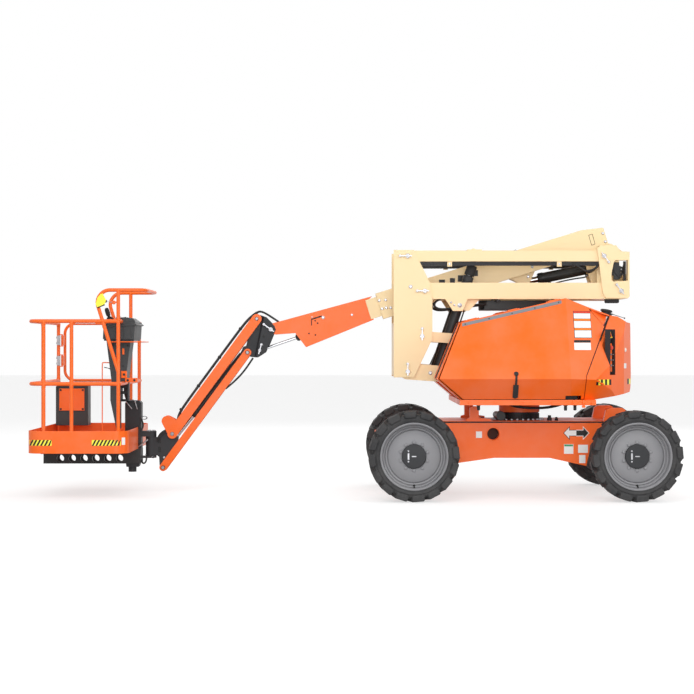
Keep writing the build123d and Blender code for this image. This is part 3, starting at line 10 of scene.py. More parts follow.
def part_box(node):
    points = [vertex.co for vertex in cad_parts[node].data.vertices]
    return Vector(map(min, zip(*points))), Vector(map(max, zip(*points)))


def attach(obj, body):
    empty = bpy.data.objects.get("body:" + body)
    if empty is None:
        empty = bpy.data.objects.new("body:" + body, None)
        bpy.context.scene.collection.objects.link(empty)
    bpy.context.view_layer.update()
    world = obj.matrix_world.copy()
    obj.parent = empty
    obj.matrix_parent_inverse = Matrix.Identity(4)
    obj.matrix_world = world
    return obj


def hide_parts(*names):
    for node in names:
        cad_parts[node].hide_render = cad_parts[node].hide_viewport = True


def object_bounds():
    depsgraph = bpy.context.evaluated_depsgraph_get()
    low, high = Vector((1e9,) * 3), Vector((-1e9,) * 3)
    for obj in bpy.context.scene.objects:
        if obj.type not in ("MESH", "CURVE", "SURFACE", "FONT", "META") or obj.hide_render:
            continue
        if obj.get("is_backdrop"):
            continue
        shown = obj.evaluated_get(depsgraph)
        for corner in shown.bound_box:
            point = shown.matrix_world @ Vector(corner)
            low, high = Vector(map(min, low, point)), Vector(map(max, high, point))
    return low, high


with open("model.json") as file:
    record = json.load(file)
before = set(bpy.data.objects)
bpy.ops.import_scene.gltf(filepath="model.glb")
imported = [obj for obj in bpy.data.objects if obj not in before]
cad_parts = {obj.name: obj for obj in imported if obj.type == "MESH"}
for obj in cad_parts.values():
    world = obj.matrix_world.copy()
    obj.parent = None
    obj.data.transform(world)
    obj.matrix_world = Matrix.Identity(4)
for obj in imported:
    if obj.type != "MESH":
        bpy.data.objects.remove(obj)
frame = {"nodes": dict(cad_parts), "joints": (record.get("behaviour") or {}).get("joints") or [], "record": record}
cad_box = [list(corner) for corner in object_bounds()]
nodes = frame["nodes"]
pin = {joint["name"]: Vector(joint["pos_m"]) for joint in frame["joints"] if "pos_m" in joint}

# ---------------------------------------------------------------- studio
# A pale seamless floor under an even white sky, one broad soft lamp over the camera and a weaker one behind.
# The camera stands level with the middle of the machine and square to its near side.
CAMERA_PLACE = (-0.0477, -14.465, 1.238)
CAMERA_LENS = 88.2
SKY_STRENGTH = 0.60


def wired(tree, kind, inputs=None, **settings):
    """Adds a node, with its settings, and values or links on its sockets."""
    made = tree.nodes.new(kind)
    for key, value in settings.items():
        setattr(made, key, value)
    for key, value in (inputs or {}).items():
        if isinstance(value, bpy.types.NodeSocket):
            tree.links.new(value, made.inputs[key])
        else:
            made.inputs[key].default_value = value
    return made


camera = bpy.data.objects.new("camera", bpy.data.cameras.new("camera"))
camera.location = CAMERA_PLACE
camera.rotation_euler = (radians(90), 0, 0)
camera.data.lens = CAMERA_LENS
camera.data.sensor_width = 36
camera.data.clip_end = 200
bpy.context.scene.collection.objects.link(camera)
bpy.context.scene.camera = camera
bpy.context.scene.view_settings.view_transform = "Standard"

sky = bpy.data.worlds.new("sky")
sky.use_nodes = True
sky.node_tree.nodes.clear()
rays = wired(sky.node_tree, "ShaderNodeLightPath")
seen = wired(sky.node_tree, "ShaderNodeMath", {0: rays.outputs["Is Camera Ray"], 1: rays.outputs["Is Glossy Ray"]},
    operation="MAXIMUM")
seen = wired(sky.node_tree, "ShaderNodeMath", {0: seen.outputs[0], 1: rays.outputs["Is Transmission Ray"]},
    operation="MAXIMUM")
dim = wired(sky.node_tree, "ShaderNodeBackground", {"Color": (1, 1, 1, 1), "Strength": SKY_STRENGTH})
bright = wired(sky.node_tree, "ShaderNodeBackground", {"Color": (1, 1, 1, 1), "Strength": 1.0})
both = wired(sky.node_tree, "ShaderNodeMixShader", {0: seen.outputs[0], 1: dim.outputs[0], 2: bright.outputs[0]})
wired(sky.node_tree, "ShaderNodeOutputWorld", {"Surface": both.outputs[0]})
bpy.context.scene.world = sky

for lamp_name, place, target, size, power in (
    ("lamp_front", (-3.0, -9.0, 8.5), (0, 0, 0.9), 7.0, 420),
    ("lamp_low", (1.0, -12.0, 2.2), (0.3, 0, 0.8), 6.0, 520),
    ("lamp_side", (8.0, -5.0, 5.0), (0.5, 0, 1.0), 5.0, 200),
    ("lamp_back", (2.0, 9.0, 7.0), (0, 0, 1.0), 6.0, 320),
):
    lamp = bpy.data.objects.new(lamp_name, bpy.data.lights.new(lamp_name, "AREA"))
    lamp.data.size = size
    lamp.data.energy = power
    lamp.location = place
    lamp.rotation_euler = (Vector(target) - Vector(place)).to_track_quat("-Z", "Y").to_euler()
    bpy.context.scene.collection.objects.link(lamp)

floor_mesh = bpy.data.meshes.new("floor")
floor_mesh.from_pydata([(-60, -60, 0), (60, -60, 0), (60, 60, 0), (-60, 60, 0)], [], [(0, 1, 2, 3)])
floor = bpy.data.objects.new("floor", floor_mesh)
bpy.context.scene.collection.objects.link(floor)
floor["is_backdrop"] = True
floor_paint = bpy.data.materials.new("studio_floor")
floor_paint.use_nodes = True
tree = floor_paint.node_tree
floor_shade = tree.nodes["Principled BSDF"]
floor_shade.inputs["Base Color"].default_value = (0.50, 0.50, 0.50, 1)
floor_shade.inputs["Roughness"].default_value = 0.9
floor_shade.inputs["Specular IOR Level"].default_value = 0.1
# The floor is as white as the sky to the eye and in reflections, and darker only where the machine shades it
floor_rays = wired(tree, "ShaderNodeLightPath")
floor_seen = wired(tree, "ShaderNodeMath", {0: floor_rays.outputs["Is Camera Ray"],
    1: floor_rays.outputs["Is Glossy Ray"]}, operation="MAXIMUM")
floor_lift = wired(tree, "ShaderNodeMath", {0: floor_seen.outputs[0], 1: 0.58}, operation="MULTIPLY")
floor_shade.inputs["Emission Color"].default_value = (1, 1, 1, 1)
tree.links.new(floor_lift.outputs[0], floor_shade.inputs["Emission Strength"])
floor_mesh.materials.append(floor_paint)

# ---------------------------------------------------------------- paint on the frame's own pieces
# Sprayed two-part enamel over steel: orange on the carrier, hoods, jib and platform, cream on the tower and boom,
# black powder coat on running gear. Dust lies thinly on it, more towards the ground, and rub marks dull its gloss.


def group_with(name, inputs, outputs):
    """A shader node group with its sockets, its input node and its output node."""
    tree = bpy.data.node_groups.new(name, "ShaderNodeTree")
    for label, kind, value in inputs:
        socket = tree.interface.new_socket(label, in_out="INPUT", socket_type=kind)
        socket.default_value = value
    for label, kind in outputs:
        tree.interface.new_socket(label, in_out="OUTPUT", socket_type=kind)
    return tree, tree.nodes.new("NodeGroupInput").outputs, tree.nodes.new("NodeGroupOutput").inputs


COLOUR, FLOAT = "NodeSocketColor", "NodeSocketFloat"
weathering, given, result = group_with(
    "weathered_surface",
    [
        ("Color", COLOUR, (0.5, 0.5, 0.5, 1)), ("Dust Color", COLOUR, (0.30, 0.29, 0.28, 1)),
        ("Patch Scale", FLOAT, 3.0), ("Grain Scale", FLOAT, 220.0), ("Fade", FLOAT, 0.08), ("Dust", FLOAT, 0.1),
        ("Dust Height", FLOAT, 0.9), ("Low Roughness", FLOAT, 0.3), ("High Roughness", FLOAT, 0.5),
        ("Grain", FLOAT, 0.2),
    ],
    [("Color", COLOUR), ("Roughness", FLOAT), ("Height", FLOAT)],
)
place = wired(weathering, "ShaderNodeTexCoord").outputs["Object"]
patches = wired(weathering, "ShaderNodeTexNoise", {"Vector": place, "Scale": given["Patch Scale"], "Detail": 6.0,
    "Roughness": 0.6})
grain = wired(weathering, "ShaderNodeTexNoise", {"Vector": place, "Scale": given["Grain Scale"], "Detail": 2.0})
stretched = wired(weathering, "ShaderNodeVectorMath", {0: place, 1: (4.0, 60.0, 90.0)}, operation="MULTIPLY")
rubs = wired(weathering, "ShaderNodeTexNoise", {"Vector": stretched.outputs[0], "Scale": 1.0, "Detail": 3.0})
rub_mask = wired(weathering, "ShaderNodeMapRange", {"Value": rubs.outputs[0], "From Min": 0.60, "From Max": 0.72})
patch_mask = wired(weathering, "ShaderNodeMapRange", {"Value": patches.outputs[0], "From Min": 0.35, "From Max": 0.68})
faded = wired(weathering, "ShaderNodeMath", {0: patch_mask.outputs[0], 1: given["Fade"]}, operation="MULTIPLY")
pale = wired(weathering, "ShaderNodeMix", {0: faded.outputs[0], 6: given["Color"], 7: (0.9, 0.88, 0.84, 1)},
    data_type="RGBA")
height = wired(weathering, "ShaderNodeSeparateXYZ", {0: place})
low_down = wired(weathering, "ShaderNodeMapRange", {"Value": height.outputs["Z"], "From Min": 0.0,
    "From Max": given["Dust Height"], "To Min": 1.0, "To Max": 0.15})
dusty = wired(weathering, "ShaderNodeMath", {0: low_down.outputs[0], 1: patches.outputs[0]}, operation="MULTIPLY")
dusty = wired(weathering, "ShaderNodeMath", {0: dusty.outputs[0], 1: given["Dust"]}, operation="MULTIPLY",
    use_clamp=True)
coated = wired(weathering, "ShaderNodeMix", {0: dusty.outputs[0], 6: pale.outputs[2], 7: given["Dust Color"]},
    data_type="RGBA")
dulled = wired(weathering, "ShaderNodeMath", {0: patch_mask.outputs[0], 1: rub_mask.outputs[0]}, operation="MAXIMUM")
gloss = wired(weathering, "ShaderNodeMapRange", {"Value": dulled.outputs[0], "To Min": given["Low Roughness"],
    "To Max": given["High Roughness"]})
relief = wired(weathering, "ShaderNodeMath", {0: grain.outputs[0], 1: given["Grain"]}, operation="MULTIPLY")
relief = wired(weathering, "ShaderNodeMath", {0: rub_mask.outputs[0], 1: -0.1, 2: relief.outputs[0]},
    operation="MULTIPLY_ADD")
weathering.links.new(coated.outputs[2], result["Color"])
weathering.links.new(gloss.outputs[0], result["Roughness"])
weathering.links.new(relief.outputs[0], result["Height"])


def surfaced(name, colour, gloss_range=(0.3, 0.45), grain=(220.0, 0.2), depth=0.0004, metal=0.0, coat=0.0,
    soft_edge=0.0025, **worn):
    """A finish: weathering feeds a Principled shader, and the edges catch light over a small radius."""
    material = bpy.data.materials.new(name)
    material.use_nodes = True
    tree = material.node_tree
    shader = tree.nodes["Principled BSDF"]
    skin = wired(tree, "ShaderNodeGroup", node_tree=weathering)
    values = {
        "Color": (*colour, 1), "Low Roughness": gloss_range[0], "High Roughness": gloss_range[1],
        "Grain Scale": grain[0], "Grain": grain[1], **worn,
    }
    for key, value in values.items():
        skin.inputs[key].default_value = value
    tree.links.new(skin.outputs["Color"], shader.inputs["Base Color"])
    tree.links.new(skin.outputs["Roughness"], shader.inputs["Roughness"])
    bump = wired(tree, "ShaderNodeBump", {"Height": skin.outputs["Height"], "Distance": depth, "Strength": 0.6})
    if soft_edge:
        rounded_edge = wired(tree, "ShaderNodeBevel", {"Radius": soft_edge}, samples=4)
        tree.links.new(rounded_edge.outputs[0], bump.inputs["Normal"])
    tree.links.new(bump.outputs[0], shader.inputs["Normal"])
    shader.inputs["Metallic"].default_value = metal
    shader.inputs["Specular IOR Level"].default_value = 0.5 if metal else 0.22
    shader.inputs["Coat Weight"].default_value = coat
    shader.inputs["Coat Roughness"].default_value = 0.12
    return material


def label(name, colour):
    """The smooth, clean surface of a blank plate, a painted stripe or a flat patch of painted shade."""
    return surfaced(name, colour, (0.35, 0.45), (100.0, 0.05), soft_edge=0, Fade=0.0, Dust=0.02)


orange_enamel = surfaced("orange_enamel", (0.94, 0.138, 0.006), (0.30, 0.44), coat=0.06, Fade=0.05, Dust=0.05)
cream_enamel = surfaced("cream_enamel", (0.88, 0.69, 0.395), (0.32, 0.46), coat=0.05, Fade=0.06, Dust=0.05)
# Dark powder coat on running gear and fittings; it also colours one flat panel of painted shade in the knuckle's
# window.
dark_coat_and_shade = surfaced("dark_powder_coat_and_shade", (0.026, 0.027, 0.030), (0.42, 0.58), (420.0, 0.5), Fade=0.0, Dust=0.06)
black_paint = surfaced("black_paint", (0.012, 0.012, 0.013), (0.30, 0.46), Fade=0.02, Dust=0.08)
rim_paint = surfaced("rim_paint", (0.245, 0.245, 0.26), (0.36, 0.50), (300.0, 0.3), Fade=0.04, Dust=0.18)
tyre_rubber = surfaced("tyre_rubber", (0.030, 0.030, 0.032), (0.62, 0.80), (160.0, 0.9), 0.0012, soft_edge=0, Fade=0.03,
    Dust=0.10, **{"Patch Scale": 9.0})
polished_rod = surfaced("polished_rod", (0.46, 0.47, 0.49), (0.10, 0.18), (600.0, 0.1), metal=1.0, soft_edge=0.001,
    Fade=0.0, Dust=0.0)
battery_plastic = surfaced("battery_plastic", (0.030, 0.031, 0.034), (0.45, 0.60), (500.0, 0.5), Dust=0.1)
console_plastic = surfaced("console_plastic", (0.048, 0.052, 0.054), (0.40, 0.55), (650.0, 0.6), Fade=0.0, Dust=0.03)
zinc_plate = surfaced("zinc_plate", (0.34, 0.34, 0.36), (0.26, 0.42), (500.0, 0.2), metal=1.0, soft_edge=0.0008,
    Fade=0.05, Dust=0.03)
hose_rubber = surfaced("hose_rubber", (0.016, 0.016, 0.017), (0.48, 0.62), (900.0, 0.6), soft_edge=0, Fade=0.02,
    Dust=0.05)
seal_rubber = surfaced("seal_rubber", (0.012, 0.012, 0.012), (0.6, 0.75), (400.0, 0.5), soft_edge=0, Fade=0.02,
    Dust=0.05)
label_white = label("label_white", (0.86, 0.87, 0.86))
label_yellow = label("label_yellow", (0.90, 0.62, 0.02))
label_red = label("label_red", (0.70, 0.05, 0.02))
label_green = label("label_green", (0.03, 0.30, 0.10))
label_orange = label("label_orange", (0.92, 0.22, 0.01))
brushed_strip = surfaced("brushed_strip", (0.20, 0.21, 0.22), (0.30, 0.42), (700.0, 0.3), metal=0.6, soft_edge=0.0008,
    Fade=0.03, Dust=0.02)
lens_glass = surfaced("lens_glass", (0.80, 0.78, 0.70), (0.08, 0.16), (100.0, 0.02), coat=0.6, soft_edge=0, Fade=0.0,
    Dust=0.0)
lemon_paint = surfaced("lemon_paint", (0.94, 0.88, 0.07), (0.30, 0.42), coat=0.05, Fade=0.02, Dust=0.03)
hole_shadow = surfaced("hole_shadow", (0.040, 0.012, 0.006), (0.55, 0.70), Fade=0.0, Dust=0.05)
# Black for print and stripes, and also for flat patches of painted shade that stand in for holes and windows.
black_print_and_shade = label("black_print_and_shade", (0.012, 0.012, 0.012))

finish_of_slot = {
    "orange_paint": orange_enamel, "cream_paint": cream_enamel, "dark_paint": dark_coat_and_shade, "black_paint": black_paint,
    "rim_paint": rim_paint, "tyre": tyre_rubber, "polished_rod": polished_rod, "battery_case": battery_plastic,
    "console_plastic": console_plastic,
}
for part in frame["record"]["subparts"]:
    mesh = nodes[part["node"]].data
    mesh.materials.clear()
    mesh.materials.append(finish_of_slot[part["material_slot"]])

# ---------------------------------------------------------------- tyres
# Foam-filled rough-terrain tyres: a carcass of moulded rubber with two rings round its wall, and blocky lugs in two
# staggered rows, each running from the crown's middle over the shoulder and a little way down the wall.
WHEEL_RADIUS = 0.365
TYRE_HALF = 0.125
RIM_RADIUS = 0.2623
LUGS = 16


class Work:
    """A piece in the making: all that is added to it becomes one mesh."""

    def __init__(self):
        self.mesh = bmesh.new()

    def loft(self, sections, closed=True, caps=True):
        """Skin through loops of points that have the same count."""
        rows = [[self.mesh.verts.new(point) for point in loop] for loop in sections]
        count = len(rows[0])
        for row, following in zip(rows, rows[1:]):
            for index in range(count if closed else count - 1):
                after = (index + 1) % count
                self.mesh.faces.new((row[index], row[after], following[after], following[index]))
        if caps:
            self.mesh.faces.new(rows[0][::-1])
            self.mesh.faces.new(rows[-1])

    def turned(self, profile, seat, steps=32):
        """A profile of (radius, height) turned about a seat's own Z; a radius of 0 closes an end."""
        rows = []
        for radius, rise in profile:
            if radius == 0:
                rows.append([self.mesh.verts.new(seat @ Vector((0, 0, rise)))])
            else:
                rows.append([
                    self.mesh.verts.new(seat @ Vector((radius * cos(2 * pi * k / steps),
                        radius * sin(2 * pi * k / steps), rise)))
                    for k in range(steps)
                ])
        for row, following in zip(rows, rows[1:]):
            for k in range(steps):
                corners = [row[k % len(row)], row[(k + 1) % len(row)], following[(k + 1) % len(following)],
                    following[k % len(following)]]
                self.mesh.faces.new(list(dict.fromkeys(corners)))

    def plate(self, outline, seat, thickness):
        """A flat outline in a seat's own X and Y, raised along its Z."""
        self.loft([[seat @ Vector((x, y, 0)) for x, y in outline],
            [seat @ Vector((x, y, thickness)) for x, y in outline]])

    def bolt(self, seat, across=0.024, head=0.010):
        """A hexagon head on a round washer."""
        radius = across / 2 / cos(pi / 6)
        self.turned([(across * 0.72, -0.001), (across * 0.72, head * 0.16), (across * 0.66, head * 0.24),
            (0, head * 0.24)], seat, 20)
        self.turned([(radius, head * 0.2), (radius, head * 0.84), (radius * 0.86, head), (0, head)], seat, 6)

    def done(self, name, body, material, slot=None, bevel=0.0, crease=35):
        """Closes the piece, gives it its finish and lets it ride on a body."""
        bmesh.ops.recalc_face_normals(self.mesh, faces=self.mesh.faces)
        data = bpy.data.meshes.new(name)
        self.mesh.to_mesh(data)
        self.mesh.free()
        data.polygons.foreach_set("use_smooth", [True] * len(data.polygons))
        data.set_sharp_from_angle(angle=radians(crease))
        data.materials.append(material)
        piece = bpy.data.objects.new(name, data)
        bpy.context.scene.collection.objects.link(piece)
        if bevel:
            rounding = piece.modifiers.new("rounding", "BEVEL")
            rounding.width = bevel
            rounding.segments = 2
            rounding.limit_method = "ANGLE"
            rounding.angle_limit = radians(crease)
            rounding.harden_normals = True
        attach(piece, body)
        return piece


def seat_at(point, out, along=None):
    """A place whose Z points out of the surface and whose X runs along it."""
    out = Vector(out).normalized()
    along = Vector(along) if along else (Vector((1, 0, 0)) if abs(out.x) < 0.9 else Vector((0, 1, 0)))
    along = (along - out * along.dot(out)).normalized()
    across = out.cross(along)
    turn = Matrix((along, across, out)).transposed().to_4x4()
    turn.translation = Vector(point)
    return turn


CARCASS = [
    (RIM_RADIUS + 0.001, -0.104), (0.276, -0.112), (0.290, -0.1145), (0.294, -0.1165), (0.299, -0.1165), (0.303,
        -0.113),
    (0.322, -0.108), (0.334, -0.094), (0.3385, -0.070), (0.340, 0.0), (0.3385, 0.070), (0.334, 0.094), (0.322, 0.108),
    (0.303, 0.113), (0.299, 0.1165), (0.294, 0.1165), (0.290, 0.1145), (0.276, 0.112), (RIM_RADIUS + 0.001, 0.104),
]
LUG_PATH = (
    # across the tyre, top radius, foot radius, half width at top and foot, lead
    (0.004, 0.3650, 0.334, 0.036, 0.042, 0.120), (0.050, 0.3650, 0.334, 0.040, 0.047, 0.055),
    (0.100, 0.3640, 0.328, 0.046, 0.053, 0.010), (0.1190, 0.3590, 0.318, 0.048, 0.054, 0.0),
    (0.1245, 0.3380, 0.310, 0.047, 0.052, 0.0), (0.1225, 0.3140, 0.306, 0.036, 0.042, 0.0),
)
LUG_FOOT_ACROSS = (0.006, 0.050, 0.088, 0.098, 0.106, 0.108)
for wheel_name, wheel_x in (("drive", pin["drive_wheel_spin_near"].x), ("steer", pin["steer_near"].x)):
    for side_name, side in (("near", -1), ("far", 1)):
        hub = Vector((wheel_x, side * 0.84, WHEEL_RADIUS))
        tyre = Work()
        tyre.turned([(radius, rise) for radius, rise in CARCASS] + [CARCASS[0]], seat_at(hub, (0, side, 0)), 96)
        for row in (-1, 1):
            for index in range(LUGS):
                middle = 2 * pi * (index + (0.25 if row > 0 else 0.75)) / LUGS
                loops = []
                for (across, top, foot, top_half, foot_half, lead), foot_across in zip(LUG_PATH, LUG_FOOT_ACROSS):
                    corners = []
                    for radius, half, reach in ((foot, -foot_half, foot_across), (top, -top_half, across),
                        (top, top_half, across), (foot, foot_half, foot_across)):
                        angle = middle + lead + half / radius
                        corners.append(hub + Vector((radius * sin(angle), row * reach, radius * cos(angle))))
                    loops.append(corners)
                tyre.loft(loops)
        made = tyre.done(f"rubber_tyre_{wheel_name}_{side_name}", f"{wheel_name}_wheel_{side_name}", tyre_rubber,
            "tyre", 0.003, 28)
        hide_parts(f"tyre_{wheel_name}_{side_name}")

# ---------------------------------------------------------------- wheel discs
# Pressed steel rims painted grey: a dished disc with a ring of stud nuts, the hub's cover with its own screws in the
# middle, and a rubber valve near the felloe.
STUDS = 10
STUD_CIRCLE = 0.113
DISC_OUT = TYRE_HALF - 0.075
for wheel_name, wheel_x in (("drive", pin["drive_wheel_spin_near"].x), ("steer", pin["steer_near"].x)):
    for side_name, side in (("near", -1), ("far", 1)):
        body = f"{wheel_name}_wheel_{side_name}"
        face = seat_at((wheel_x, side * 0.84, WHEEL_RADIUS), (0, side, 0))
        dish = Work()
        dish.turned([
            (0.096, DISC_OUT - 0.004), (0.100, DISC_OUT + 0.001), (0.204, DISC_OUT + 0.003), (0.209, DISC_OUT - 0.001),
            (0.211, DISC_OUT - 0.010), (0.214, DISC_OUT - 0.010), (0.216, DISC_OUT + 0.006), (0.219, DISC_OUT + 0.009),
            (0.226, DISC_OUT + 0.010), (0.229, DISC_OUT + 0.007), (0.230, DISC_OUT + 0.001), (0.236, DISC_OUT + 0.001),
            (0.238, DISC_OUT + 0.018), (0.241, DISC_OUT + 0.022), (0.246, DISC_OUT + 0.023), (0.248, DISC_OUT + 0.018),
            (0.251, DISC_OUT + 0.018), (0.2535, DISC_OUT + 0.034), (0.2545, TYRE_HALF - 0.016), (0.257,
                TYRE_HALF - 0.009),
            (0.264, TYRE_HALF - 0.0045), (0.270, TYRE_HALF - 0.007), (0.2715, TYRE_HALF - 0.014),
        ], face, 96)
        dish.done(f"rim_pressing_{wheel_name}_{side_name}", body, rim_paint, "rim_paint", crease=50)
        nuts = Work()
        for index in range(STUDS):
            angle = 2 * pi * (index + 0.5) / STUDS
            spot = face @ Matrix.Translation((STUD_CIRCLE * cos(angle), STUD_CIRCLE * sin(angle), DISC_OUT + 0.001))
            nuts.bolt(spot, 0.022, 0.010)
        nuts.done(f"stud_nuts_{wheel_name}_{side_name}", body, rim_paint, "rim_paint")
        cover = Work()
        cover.turned([
            (0.097, DISC_OUT - 0.004), (0.097, DISC_OUT + 0.016), (0.093, DISC_OUT + 0.020), (0.060, DISC_OUT + 0.0215),
            (0, DISC_OUT + 0.022),
        ], face, 64)
        cover.done(f"hub_cover_{wheel_name}_{side_name}", body, dark_coat_and_shade, "dark_paint")
        plugs = Work()
        for height in (-0.042, 0.042):
            plugs.bolt(face @ Matrix.Translation((0.045 * side, height, DISC_OUT + 0.021)), 0.010, 0.004)
        plugs.plate([(-0.016, -0.004), (0.016, -0.004), (0.019, 0), (0.016, 0.004), (-0.016, 0.004), (-0.019, 0)],
            face @ Matrix.Translation((0, 0, DISC_OUT + 0.021)), 0.003)
        plugs.plate([(side * x, z) for x, z in ((0.038, -0.025), (0.051, -0.025), (0.051, 0.025), (0.038, 0.025))],
            face @ Matrix.Translation((0, 0, DISC_OUT + 0.021)), 0.0015)
        plugs.done(f"hub_plugs_{wheel_name}_{side_name}", body, zinc_plate)
        valve = Work()
        stem = face @ Matrix.Translation((0, 0.232 if side > 0 else -0.232,
            DISC_OUT + 0.010)) @ Matrix.Rotation(radians(20), 4, "X")
        valve.turned([(0.009, -0.006), (0.008, 0.006), (0.005, 0.010), (0.005, 0.026), (0.0065, 0.027), (0.0065, 0.036),
            (0, 0.037)], stem, 14)
        valve.done(f"valve_{wheel_name}_{side_name}", body, seal_rubber, crease=40)

# ---------------------------------------------------------------- chassis fittings
# Vinyl direction arrows and blank plates stuck on the welded frame's sides, a dark trim under its top edge, and the
# slewing bearing's toothed ring inside its circle of cap screws.
SLEW = pin["turntable_swing"]
CHASSIS_SIDE = 0.36
CHASSIS_TOP = 0.624
skins = {}


def face_at(x, z, side, *names):
    """The outermost point of some of the frame's pieces as seen squarely from one side, with its normal."""
    best = None
    for name in names or nodes:
        if name not in skins:
            mesh = nodes[name].data
            skins[name] = BVHTree.FromPolygons([v.co for v in mesh.vertices], [p.vertices for p in mesh.polygons])
        spot, normal, _, _ = skins[name].ray_cast(Vector((x, side * 3, z)), Vector((0, -side, 0)))
        if spot and (best is None or side * spot.y > side * best[0].y):
            best = (spot, normal if normal.y * side > 0 else -normal)
    if best is None:
        raise ValueError(f"nothing of {names} at {x:.3f}, {z:.3f}")
    return best


def seat_on(x, z, side, *names):
    """A seat on the outer face of some of the frame's pieces, at an X and Z point of one side."""
    return seat_at(*face_at(x, z, side, *names))


def slab(work, outline, reach, side, thick):
    """A flat shape of X and Z points that stands out from a side face."""
    work.loft([[Vector((x, side * reach, z)) for x, z in outline],
        [Vector((x, side * (reach + thick), z)) for x, z in outline]])


def hug(work, corners, side, names, steps=(6, 2), proud=0.0012):
    """A thin four-cornered skin that follows the faces under it; the corners are X and Z, low edge first."""
    across, up = steps
    a, b, c, d = (Vector((x, z)) for x, z in corners)
    front, back = [], []
    for j in range(up + 1):
        rows = [], []
        for i in range(across + 1):
            flat = a.lerp(b, i / across).lerp(d.lerp(c, i / across), j / up)
            spot, normal = face_at(flat.x, flat.y, side, *names)
            rows[0].append(work.mesh.verts.new(spot + normal * proud))
            rows[1].append(work.mesh.verts.new(spot - normal * 0.002))
        front.append(rows[0])
        back.append(rows[1])
    for j in range(up):
        for i in range(across):
            for grid in (front, back):
                work.mesh.faces.new((grid[j][i], grid[j][i + 1], grid[j + 1][i + 1], grid[j + 1][i]))
    rim_front = front[0] + [row[-1] for row in front[1:]] + front[-1][-2::-1] + [row[0] for row in front[-2:0:-1]]
    rim_back = back[0] + [row[-1] for row in back[1:]] + back[-1][-2::-1] + [row[0] for row in back[-2:0:-1]]
    for k in range(len(rim_front)):
        following = (k + 1) % len(rim_front)
        work.mesh.faces.new((rim_front[k], rim_front[following], rim_back[following], rim_back[k]))


def box_of(x, z):
    """The four corners of an upright rectangle, low edge first."""
    return [(x[0], z[0]), (x[1], z[0]), (x[1], z[1]), (x[0], z[1])]


ARROW_MIDDLE, ARROW_Z = 1.8545, 0.5245
ARROW = [(0, -0.0265), (0.0545, -0.0265), (0.0545, -0.0565), (0.1085, 0), (0.0545, 0.0565), (0.0545, 0.0265),
    (0, 0.0265)]
ARROW_FILL = [(0, -0.0215), (0.0595, -0.0215), (0.0595, -0.0445), (0.1015, 0), (0.0595, 0.0445), (0.0595, 0.0215),
    (0, 0.0215)]
CHASSIS_PLATES = (
    ((1.022, 1.072), (0.484, 0.538), None), ((1.752, 1.830), (0.352, 0.432), label_green),
    ((1.869, 1.951), (0.360, 0.427), None), ((1.878, 1.930), (0.275, 0.342), None),
)
chassis_white, chassis_black, chassis_green, chassis_trim = Work(), Work(), Work(), Work()
for side in (-1, 1):
    for way, under, over in ((-1, chassis_black, chassis_white), (1, chassis_white, chassis_black)):
        slab(under, [(ARROW_MIDDLE + way * x, ARROW_Z + z) for x, z in ARROW], CHASSIS_SIDE - 0.001, side, 0.0018)
        slab(over, [(ARROW_MIDDLE + way * x, ARROW_Z + z) for x, z in ARROW_FILL], CHASSIS_SIDE - 0.001, side, 0.0024)
    for across, up, header in CHASSIS_PLATES:
        hug(chassis_white, box_of(across, up), side, ("chassis", "steer_axle"), (4, 4), 0.0012)
        if header:
            hug(chassis_green, box_of((across[0] + 0.003, across[1] - 0.003), (up[1] - 0.018, up[1] - 0.003)), side,
                ("chassis",), (3, 1), 0.0018)
    slab(chassis_trim, box_of((0.285, 2.460), (CHASSIS_TOP - 0.016, CHASSIS_TOP - 0.004)), CHASSIS_SIDE - 0.001, side,
        0.002)
chassis_white.done("chassis_white_vinyl", "chassis", label_white)
chassis_black.done("chassis_black_vinyl", "chassis", black_print_and_shade)
chassis_green.done("chassis_green_header", "chassis", label_green)
chassis_trim.done("chassis_edge_trim", "chassis", seal_rubber)

TEETH, GEAR_LOW, GEAR_HIGH = 66, 0.634, 0.676
gear = Work()
gear_outline = []
for index in range(TEETH):
    for share, radius in ((0.0, 0.1770), (0.28, 0.1770), (0.42, 0.1845), (0.86, 0.1845)):
        angle = 2 * pi * (index + share) / TEETH
        gear_outline.append((radius * cos(angle), radius * sin(angle)))
gear.plate(gear_outline, seat_at((SLEW.x, 0, GEAR_LOW), (0, 0, 1)), GEAR_HIGH - GEAR_LOW)
gear.done("slew_ring_teeth", "chassis", dark_coat_and_shade, "black_paint", crease=20)
ring_bolts = Work()
for index in range(28):
    angle = 2 * pi * (index + 0.5) / 28
    ring_bolts.bolt(seat_at((SLEW.x + 0.212 * cos(angle), 0.212 * sin(angle), CHASSIS_TOP), (0, 0, 1)), 0.019, 0.012)
ring_bolts.done("slew_ring_bolts", "chassis", zinc_plate)
top_fittings = Work()
for x, y, radius, rise in ((1.64, -0.29, 0.020, 0.045), (1.70, -0.27, 0.014, 0.030), (1.08, -0.29, 0.016, 0.030)):
    top_fittings.turned([(radius, 0), (radius, rise * 0.5), (radius * 0.7, rise * 0.6), (radius * 0.7, rise),
        (0, rise)], seat_at((x, y, CHASSIS_TOP), (0, 0, 1)), 16)
top_fittings.done("frame_top_fittings", "chassis", dark_coat_and_shade, "dark_paint")
hole_bead = Work()
for side in (-1, 1):
    hole_bead.turned([(0.050, 0.0), (0.056, 0.0), (0.057, 0.002), (0.052, 0.0035), (0.049, 0.002), (0.050, 0.0)],
        seat_at((1.1653, side * CHASSIS_SIDE, 0.517), (0, side, 0)), 40)
# A dark brown disc inside each access hole is painted shade: the shaded inside of the hole, not a real part.
hole_painted_shade = Work()
for side in (-1, 1):
    hole_painted_shade.turned([(0.0485, -0.001), (0.0485, 0.0008), (0, 0.0010)], seat_on(1.1653, 0.517, side, "chassis"), 40)
hole_painted_shade.done("access_hole_painted_shade", "chassis", hole_shadow)
hole_bead.done("access_hole_rims", "chassis", orange_enamel, "orange_paint")
